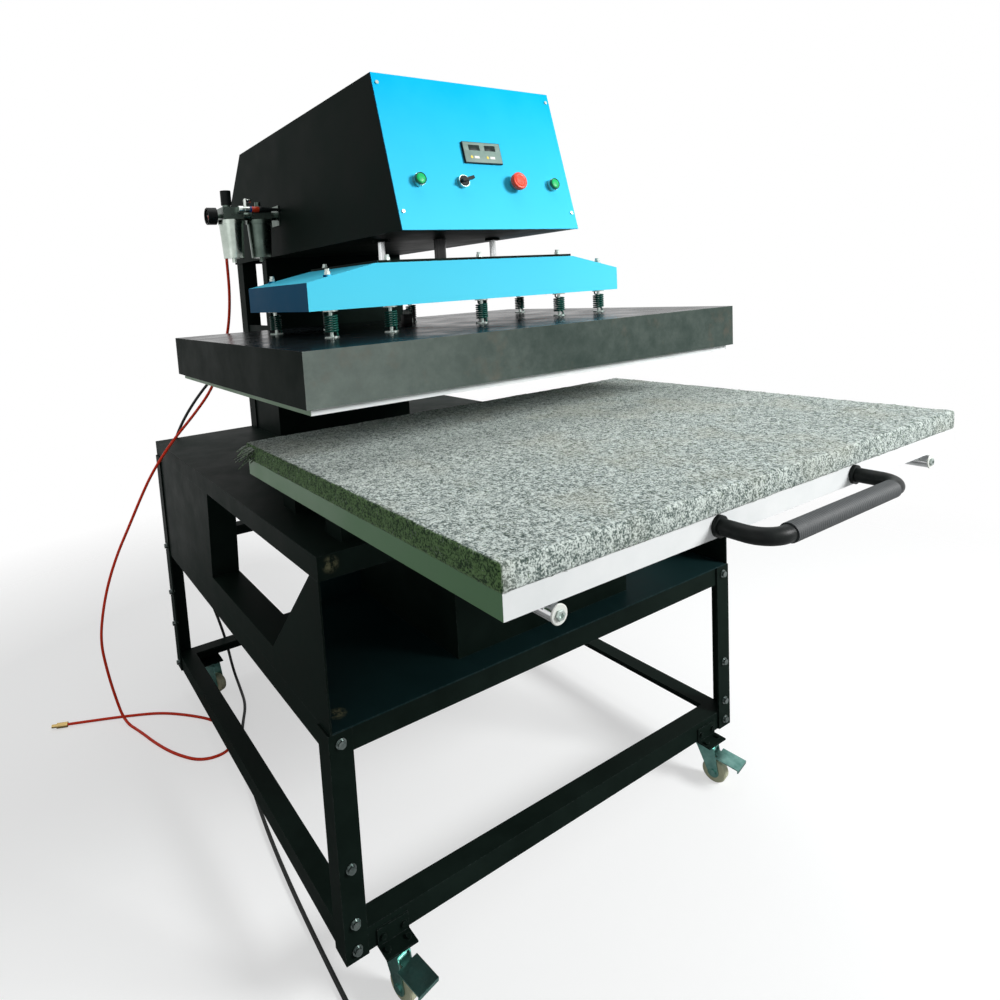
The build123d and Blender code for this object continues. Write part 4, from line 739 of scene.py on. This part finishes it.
# Loose fibres on the pad. A fibre's bend is given for a length of one.
fibre_bend = {"Start": (-0.5, 0.0, -0.03), "Middle": (0.0, 0.35, 0.10), "End": (0.5, 0.0, 0.0)}
fibre_tilt = 0.04
fibre_density = 3200.0
fibre_length = 0.009
fibre_radius = 0.00035


def make_fibre_tree(material):
    """Short bent fibres lying loosely over a surface."""
    tree = bpy.data.node_groups.new("felt_fibres", "GeometryNodeTree")
    tree.interface.new_socket(name="Geometry", in_out="INPUT", socket_type="NodeSocketGeometry")
    for label in ("Density", "Fibre Length", "Fibre Radius"):
        tree.interface.new_socket(name=label, in_out="INPUT", socket_type="NodeSocketFloat")
    tree.interface.new_socket(name="Geometry", in_out="OUTPUT", socket_type="NodeSocketGeometry")
    link = tree.links.new
    given = tree.nodes.new("NodeGroupInput")
    put = tree.nodes.new("NodeGroupOutput")
    spread = tree.nodes.new("GeometryNodeDistributePointsOnFaces")
    spread.inputs["Seed"].default_value = 4
    link(given.outputs["Geometry"], spread.inputs["Mesh"])
    link(given.outputs["Density"], spread.inputs["Density"])
    bend = tree.nodes.new("GeometryNodeCurveQuadraticBezier")
    bend.inputs["Resolution"].default_value = 3
    for label, place in fibre_bend.items():
        bend.inputs[label].default_value = place
    sized = tree.nodes.new("GeometryNodeTransform")
    link(bend.outputs[0], sized.inputs["Geometry"])
    cube_scale = tree.nodes.new("ShaderNodeCombineXYZ")
    for index in range(3):
        link(given.outputs["Fibre Length"], cube_scale.inputs[index])
    link(cube_scale.outputs[0], sized.inputs["Scale"])
    ring = tree.nodes.new("GeometryNodeCurvePrimitiveCircle")
    ring.inputs["Resolution"].default_value = 3
    link(given.outputs["Fibre Radius"], ring.inputs["Radius"])
    strand = tree.nodes.new("GeometryNodeCurveToMesh")
    strand.inputs["Fill Caps"].default_value = True
    link(sized.outputs[0], strand.inputs["Curve"])
    link(ring.outputs[0], strand.inputs["Profile Curve"])
    scatter = tree.nodes.new("GeometryNodeInstanceOnPoints")
    link(spread.outputs["Points"], scatter.inputs["Points"])
    link(strand.outputs[0], scatter.inputs["Instance"])
    link(spread.outputs["Rotation"], scatter.inputs["Rotation"])
    any_turn = tree.nodes.new("FunctionNodeRandomValue")
    any_turn.data_type = "FLOAT_VECTOR"
    any_turn.inputs[0].default_value = (-fibre_tilt, -fibre_tilt, 0.0)
    any_turn.inputs[1].default_value = (fibre_tilt, fibre_tilt, 2 * math.pi)
    turned = tree.nodes.new("GeometryNodeRotateInstances")
    link(scatter.outputs[0], turned.inputs["Instances"])
    link(any_turn.outputs[0], turned.inputs["Rotation"])
    real = tree.nodes.new("GeometryNodeRealizeInstances")
    link(turned.outputs[0], real.inputs[0])
    coloured = tree.nodes.new("GeometryNodeSetMaterial")
    coloured.inputs["Material"].default_value = material
    link(real.outputs[0], coloured.inputs["Geometry"])
    link(coloured.outputs[0], put.inputs[0])
    return tree


def with_tree(piece, tree, **values):
    """Runs a geometry tree on a piece."""
    modifier = piece.modifiers.new(tree.name, "NODES")
    modifier.node_group = tree
    sockets = {item.name: item.identifier for item in tree.interface.items_tree if item.in_out == "INPUT"}
    for label, value in values.items():
        modifier[sockets[label.replace("_", " ")]] = value
    keep_result(piece)


fibres = new_object("felt_fibres", felt_pad.data.copy())
with_tree(
    fibres, make_fibre_tree(finishes["felt"]),
    Density=fibre_density, Fibre_Length=fibre_length, Fibre_Radius=fibre_radius,
)
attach(fibres, "bed")

# Frayed corner of the pad: torn shreds of felt that hang over its back left corner
shred_count = 30
shred_steps = 4
shred_drop = 0.012
shred_thickness = 0.0016
root_x_range = (-0.002, 0.05)
root_y_range = (0.0, 0.055)
root_z_range = (0.002, 0.026)
reach_range = (0.015, 0.046)
sway_range = (-0.35, 0.55)
droop_range = (-0.2, 0.35)
half_width_range = (0.004, 0.013)
uneven_range = (0.7, 1.2)
chance = random.Random(11)
shred_mesh = bmesh.new()
for index in range(shred_count):
    root = Vector((
        pad_low.x + chance.uniform(*root_x_range),
        pad_high.y - chance.uniform(*root_y_range),
        pad_high.z - chance.uniform(*root_z_range),
    ))
    reach = chance.uniform(*reach_range)
    sway = chance.uniform(*sway_range)
    droop = chance.uniform(*droop_range)
    half = chance.uniform(*half_width_range)
    way = Vector((-math.cos(sway), math.sin(sway), -droop)).normalized()
    across = way.cross(Vector((0.0, 0.0, 1.0))).normalized()
    raised = across.cross(way)
    rows = []
    for step in range(shred_steps + 1):
        along = step / shred_steps
        middle = root + way * reach * along - Vector((0.0, 0.0, shred_drop)) * along * along
        width = half * (1 - 0.75 * along) * chance.uniform(*uneven_range)
        thick = shred_thickness * (1 - 0.6 * along)
        offsets = (across * width, raised * thick, across * -width, raised * -thick)
        rows.append([shred_mesh.verts.new(middle + offset) for offset in offsets])
    for row, after in zip(rows, rows[1:]):
        for side in range(4):
            shred_mesh.faces.new((row[side], row[(side + 1) % 4], after[(side + 1) % 4], after[side]))
    shred_mesh.faces.new(rows[0])
    shred_mesh.faces.new(rows[-1])
finished("frayed_corner", shred_mesh, finishes["felt"], "bed", crease=60.0)

# Strain relief where the power cable leaves the post: a tapered sleeve with ribs
relief_length = 0.030
relief_radius = 0.0095
relief_taper = 0.0030
relief_tip_radius = 0.0062
relief_seat = 0.002
relief_aim = (-0.340, 0.9725, 1.193)
rib_count = 6
rib_width = 0.0033
rib_depth = 0.0010
groove_start = 0.0036
groove_end = 0.0047
relief_mesh = bmesh.new()
relief = [(0.0, -relief_seat), (relief_radius, -relief_seat)]
for rib_index in range(rib_count):
    rib_start = relief_length * rib_index / rib_count
    rib_radius = relief_radius - relief_taper * rib_index / rib_count
    groove_radius = rib_radius - rib_depth
    relief += [(rib_radius, rib_start), (rib_radius, rib_start + rib_width)]
    relief += [(groove_radius, rib_start + groove_start), (groove_radius, rib_start + groove_end)]
relief += [(relief_tip_radius, relief_length), (0.0, relief_length)]
add_turned(relief_mesh, relief, aimed(gland_end, relief_aim))
finished("strain_relief", relief_mesh, finishes["cable_jacket"], "frame")

# Upstands at the back edge of the shelf, which close the view past the housing
shelf_back, shelf_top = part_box("shelf_plate")[1][1:]
housing_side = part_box("base_housing")[1][0]
upstand_end = 0.420
upstand_height = 0.072
upstand_seat = 0.001
upstand_sheet = 0.003
upstand_edge = 0.0008
upstand_width = upstand_end - housing_side
upstand_middle = (upstand_end + housing_side) / 2
upstand_mesh = bmesh.new()
upstand_y = shelf_back - upstand_sheet / 2
upstand_z = shelf_top + upstand_height / 2 - upstand_seat
for side in (-1, 1):
    upstand_place = Matrix.Translation((side * upstand_middle, upstand_y, upstand_z))
    add_block(upstand_mesh, (upstand_width, upstand_sheet, upstand_height), upstand_place, upstand_edge)
finished("shelf_upstands", upstand_mesh, shelf_paint, "frame")

# Front panel: its own plane, with x across, down along the slope and out from the face
panel_top = Vector((0.0, -0.095, 1.909))
panel_down = Vector((0.0, -0.26195, -0.96508))
panel_out = Vector((0.0, -0.96508, 0.26195))
panel_turn = Matrix((Vector((1.0, 0.0, 0.0)), -panel_down, panel_out)).transposed().to_4x4()


def on_panel(x, down, out=0.0):
    """A place on the panel, upright out of its face."""
    place = panel_top + panel_down * down + panel_out * out + Vector((x, 0, 0))
    return Matrix.Translation(place) @ panel_turn


# Start buttons, selector collar and the stop button's ring. Each profile is of radius and height.
button_down = 0.260
button_places = {"button_left": -0.201, "button_right": 0.209}
selector_x = -0.0765
stop_x = 0.0845
rim_profile = [(0.0123, 0.0100), (0.0123, 0.0158), (0.0131, 0.0166), (0.0142, 0.0158), (0.0146, 0.0100)]
lens_profile = [
    (0.0, 0.0140), (0.0112, 0.0140), (0.0112, 0.0160), (0.0095, 0.0168), (0.0050, 0.0173), (0.0, 0.0175),
]
collar_profile = [
    (0.0040, 0.0100), (0.0040, 0.0112), (0.0110, 0.0120), (0.0130, 0.0112), (0.0130, 0.0100),
]
stop_profile = [
    (0.0118, 0.0250), (0.0126, 0.0262), (0.0150, 0.0264), (0.0162, 0.0256), (0.0162, 0.0246),
    (0.0118, 0.0246),
]

for body, button_x in button_places.items():
    button_place = on_panel(button_x, button_down)
    rim_mesh = bmesh.new()
    add_turned(rim_mesh, rim_profile, button_place, 40, closed=True)
    finished(body + "_rim", rim_mesh, dark_green, "frame")
    lens_mesh = bmesh.new()
    add_turned(lens_mesh, lens_profile, button_place, 40)
    finished(body + "_lens", lens_mesh, finishes["green_plastic"], body)

collar_mesh = bmesh.new()
add_turned(collar_mesh, collar_profile, on_panel(selector_x, button_down), 40, closed=True)
finished("selector_collar", collar_mesh, finishes["black_plastic"], "frame")

stop_mesh = bmesh.new()
add_turned(stop_mesh, stop_profile, on_panel(stop_x, button_down), 48, closed=True)
finished("stop_head_ring", stop_mesh, finishes["red_plastic"], "stop_button")

# Controller: pale face round two dark displays, a yellow key and a bare pale patch under each
controller_down = 0.184
controller_width = 0.114
controller_height = 0.054
face_out = 0.006
face_margin = 0.0012
face_thickness = 0.0008
face_edge = 0.0003
display_down = 0.172
display_width = 0.033
display_height = 0.014
display_x = 0.024
display_gap = 0.001
display_thickness = 0.0012
key_down = 0.1965
key_x = (-0.036, 0.012)
patch_size = (0.0150, 0.0062, 0.0006)
face_top = controller_down - controller_height / 2 + face_margin
face_foot = controller_down + controller_height / 2 - face_margin
display_top = display_down - display_height / 2
display_foot = display_down + display_height / 2
face_width = controller_width - 2 * face_margin
middle_width = 2 * display_x - display_width
side_width = (face_width - 2 * display_x - display_width) / 2
side_x = (face_width - side_width) / 2
face_parts = [
    (0.0, (face_top + display_top) / 2, face_width, display_top - face_top),
    (0.0, (face_foot + display_foot) / 2, face_width, face_foot - display_foot),
    (-side_x, display_down, side_width, display_height),
    (side_x, display_down, side_width, display_height),
    (0.0, display_down, middle_width, display_height),
]
face_mesh = bmesh.new()
for x, down, width, height in face_parts:
    place = on_panel(x, down, face_out + face_thickness / 2)
    add_block(face_mesh, (width, height, face_thickness), place, face_edge)
finished("controller_face", face_mesh, finishes["grey_plastic"], "frame")

glass_size = (display_width - display_gap, display_height - display_gap, display_thickness)
glass_mesh = bmesh.new()
for side in (-1, 1):
    place = on_panel(side * display_x, display_down, face_out - display_thickness / 2)
    add_block(glass_mesh, glass_size, place, face_edge)
finished("display_glass", glass_mesh, display_glass, "frame")

patch_mesh = bmesh.new()
for left_x in key_x:
    place = on_panel(left_x + patch_size[0], key_down, face_out + face_thickness + patch_size[2] / 2)
    add_block(patch_mesh, patch_size, place, 0.0002)
pale_patch = moulded("pale_patch", (0.72, 0.75, 0.70), (0.78, 0.80, 0.76), 0.4)
finished("key_patches", patch_mesh, pale_patch, "frame")

# Pressure gauge: its ring, and ticks with two short ones after each long one
gauge_middle = Vector((-0.482, 0.559, 1.665))
gauge_place = aimed(gauge_middle, gauge_middle + Vector((-1.0, 0.0, 0.0)))
dial_depth = 0.0056
tick_count = 28
tick_turn = 10
first_tick = -135
tick_outer = 0.0200
tick_inner = {"long": 0.0155, "short": 0.0178}
tick_width = 0.0006
tick_thickness = 0.0004
gauge_profile = [
    (0.0205, -0.0012), (0.0212, 0.0010), (0.0235, 0.0014), (0.0246, 0.0002), (0.0246, -0.0012),
]
tick_mesh = bmesh.new()
for index in range(tick_count):
    angle = math.radians(first_tick + tick_turn * index)
    inner_radius = tick_inner["long" if index % 3 == 0 else "short"]
    middle = Matrix.Translation((0.0, (inner_radius + tick_outer) / 2, -dial_depth))
    place = gauge_place @ Matrix.Rotation(angle, 4, "Z") @ middle
    add_block(tick_mesh, (tick_width, tick_outer - inner_radius, tick_thickness), place, 0.0001)
finished("gauge_ticks", tick_mesh, pale_patch, "frame")
gauge_mesh = bmesh.new()
add_turned(gauge_mesh, gauge_profile, gauge_place, 48, closed=True)
finished("gauge_ring", gauge_mesh, finishes["black_plastic"], "frame")

# Outlet fitting of the air unit, with its collars and the nozzle into the head
fitting_y = 0.5185
fitting_z = 1.681
outlet_x = -0.399
elbow_x = -0.376
blue_collar_x = -0.366
red_collar_x = -0.360
nozzle_x = -0.337
elbow_foot = 0.006
branch_height = 0.025
outlet_profile = [
    (0.0, 0.0), (0.0090, 0.0), (0.0098, 0.0012), (0.0098, 0.0130), (0.0080, 0.0140), (0.0080, 0.0180),
    (0.0092, 0.0190), (0.0092, 0.0330), (0.0, 0.0330),
]
elbow_profile = [(0.0, 0.0), (0.0062, 0.0), (0.0062, 0.0200), (0.0048, 0.0245), (0.0, 0.0260)]
branch_profile = [(0.0, 0.0), (0.0052, 0.0), (0.0052, 0.0150), (0.0040, 0.0170), (0.0, 0.0170)]
blue_profile = [(0.0, 0.0), (0.0086, 0.0), (0.0094, 0.0010), (0.0094, 0.0060), (0.0, 0.0060)]
red_profile = [
    (0.0, 0.0), (0.0078, 0.0), (0.0084, 0.0012), (0.0084, 0.0210), (0.0070, 0.0240), (0.0, 0.0240),
]
nozzle_profile = [
    (0.0, 0.0), (0.0082, 0.0), (0.0090, 0.0020), (0.0090, 0.0080), (0.0048, 0.0430), (0.0042, 0.0700),
    (0.0, 0.0700),
]
bright_cast = bare_metal("bright_cast", (0.72, 0.76, 0.72), (0.50, 0.56, 0.52), 0.24)


def along_x(start_x, raised=0.0):
    """A place on the outlet's axis, or above it, that points along x."""
    start = Vector((start_x, fitting_y, fitting_z + raised))
    return aimed(start, start + Vector((1.0, 0.0, 0.0)))


outlet_mesh = bmesh.new()
elbow_place = Matrix.Translation((elbow_x, fitting_y, fitting_z + elbow_foot))
add_turned(outlet_mesh, outlet_profile, along_x(outlet_x), 24)
add_turned(outlet_mesh, elbow_profile, elbow_place, 20)
add_turned(outlet_mesh, branch_profile, along_x(elbow_x, branch_height), 20)
finished("outlet_elbow", outlet_mesh, bright_cast, "frame")
collars = [
    ("outlet_blue_collar", blue_profile, blue_collar_x, collar_blue, "cyan_paint"),
    ("outlet_red_collar", red_profile, red_collar_x, finishes["red_plastic"], "red_plastic"),
    ("outlet_nozzle", nozzle_profile, nozzle_x, finishes["black_plastic"], "black_plastic"),
]
for name, profile, start_x, material, slot in collars:
    turned_mesh = bmesh.new()
    add_turned(turned_mesh, profile, along_x(start_x), 24)
    finished(name, turned_mesh, material, "frame")

# Washer and bolt in the front end of each bed shaft
shaft_x = 0.510
shaft_front = -0.904
shaft_z = 1.003
washer_profile = [(0.0060, 0.0), (0.0060, 0.0020), (0.0128, 0.0020), (0.0138, 0.0010), (0.0138, 0.0)]
bolt_profile = [
    (0.0, 0.0), (0.0078, 0.0), (0.0078, 0.0046), (0.0068, 0.0056), (0.0036, 0.0056), (0.0036, 0.0030),
    (0.0, 0.0030),
]
shaft_washers = bmesh.new()
shaft_bolts = bmesh.new()
for side in (-1, 1):
    shaft_end = Vector((side * shaft_x, shaft_front, shaft_z))
    end_place = aimed(shaft_end, shaft_end + Vector((0.0, -1.0, 0.0)))
    add_turned(shaft_washers, washer_profile, end_place, 40, closed=True)
    add_turned(shaft_bolts, bolt_profile, end_place, 6)
finished("shaft_washers", shaft_washers, pale_patch, "bed")
finished("shaft_bolts", shaft_bolts, finishes["zinc"], "bed")

# Thermostat block and probe on the platen, under the beam
block_size = (0.026, 0.020, 0.030)
block_middle = Vector((-0.093, 0.105, 1.333))
probe_foot = Vector((-0.015, 0.193, 1.318))
probe_profile = [(0.0, 0.0), (0.0030, 0.0), (0.0030, 0.0400), (0.0022, 0.0410), (0.0, 0.0410)]
cap_profile = [(0.0, 0.0), (0.0090, 0.0), (0.0090, 0.0090), (0.0070, 0.0120), (0.0, 0.0130)]
cap_foot = block_middle + Vector((0.0, 0.0, block_size[2] / 2))
block_mesh = bmesh.new()
add_block(block_mesh, block_size, Matrix.Translation(block_middle), 0.0015)
add_turned(block_mesh, probe_profile, Matrix.Translation(probe_foot), 16)
finished("thermostat_block", block_mesh, finishes["black_plastic"], "platen")
cap_mesh = bmesh.new()
add_turned(cap_mesh, cap_profile, Matrix.Translation(cap_foot), 24)
finished("thermostat_cap", cap_mesh, pale_patch, "platen")

# Floor, which the camera sees brighter than its bounced light, and which fades out round the machine
floor_half = 30
floor_glow_share = 0.55
fade_start = 2.0
fade_end = 3.4
floor_mesh = bpy.data.meshes.new("floor")
floor_corners = [(x * floor_half, y * floor_half, 0) for x, y in ((-1, -1), (1, -1), (1, 1), (-1, 1))]
floor_mesh.from_pydata(floor_corners, [], [(0, 1, 2, 3)])
floor = new_object("floor", floor_mesh)
floor_material, floor_tree, floor_shader = new_finish("pale_floor")
floor_shader.inputs["Base Color"].default_value = (0.50, 0.51, 0.51, 1.0)
floor_shader.inputs["Roughness"].default_value = 1.0
floor_shader.inputs["Specular IOR Level"].default_value = 0.0
floor_shader.inputs["Emission Color"].default_value = (1.0, 1.0, 1.0, 1.0)
floor_path = floor_tree.nodes.new("ShaderNodeLightPath")
floor_glow = maths(floor_tree, "MULTIPLY", floor_path.outputs["Is Camera Ray"], floor_glow_share)
floor_tree.links.new(floor_glow, floor_shader.inputs["Emission Strength"])
floor_away = floor_tree.nodes.new("ShaderNodeVectorMath")
floor_away.operation = "LENGTH"
floor_tree.links.new(floor_tree.nodes.new("ShaderNodeTexCoord").outputs["Object"], floor_away.inputs[0])
floor_fade = span(floor_tree, floor_away.outputs["Value"], fade_start, fade_end, 1.0, 0.0)
floor_tree.links.new(floor_fade, floor_shader.inputs["Alpha"])
give(floor, floor_material)

# World, white to the camera and in reflections, and dimmer as light
world_light = 0.24
world = bpy.data.worlds.new("studio")
scene.world = world
world.use_nodes = True
sky = world.node_tree.nodes["Background"]
sky.inputs["Color"].default_value = (1.0, 1.0, 1.0, 1.0)
rays = world.node_tree.nodes.new("ShaderNodeLightPath").outputs
seen = maths(world.node_tree, "MAXIMUM", rays["Is Camera Ray"], rays["Is Glossy Ray"])
seen = maths(world.node_tree, "MAXIMUM", seen, rays["Is Transmission Ray"])
strength = span(world.node_tree, seen, 0.0, 1.0, world_light, 1.0)
world.node_tree.links.new(strength, sky.inputs["Strength"])


def lamp(name, place, target, size, power):
    """A soft area lamp that points at a place."""
    data = bpy.data.lights.new(name, "AREA")
    data.shape = "DISK"
    data.size = size
    data.energy = power
    made = new_object(name, data)
    made.location = place
    made.rotation_euler = (Vector(target) - Vector(place)).to_track_quat("-Z", "Y").to_euler()


lamp("key", (2.4, -3.6, 3.0), (0.0, -0.2, 1.1), size=1.6, power=225)
lamp("top", (0.2, 0.2, 4.2), (0.0, 0.0, 1.0), size=2.6, power=34)
lamp("fill", (-3.4, -2.2, 2.0), (0.0, 0.0, 1.0), size=2.4, power=6)

bpy.context.view_layer.update()
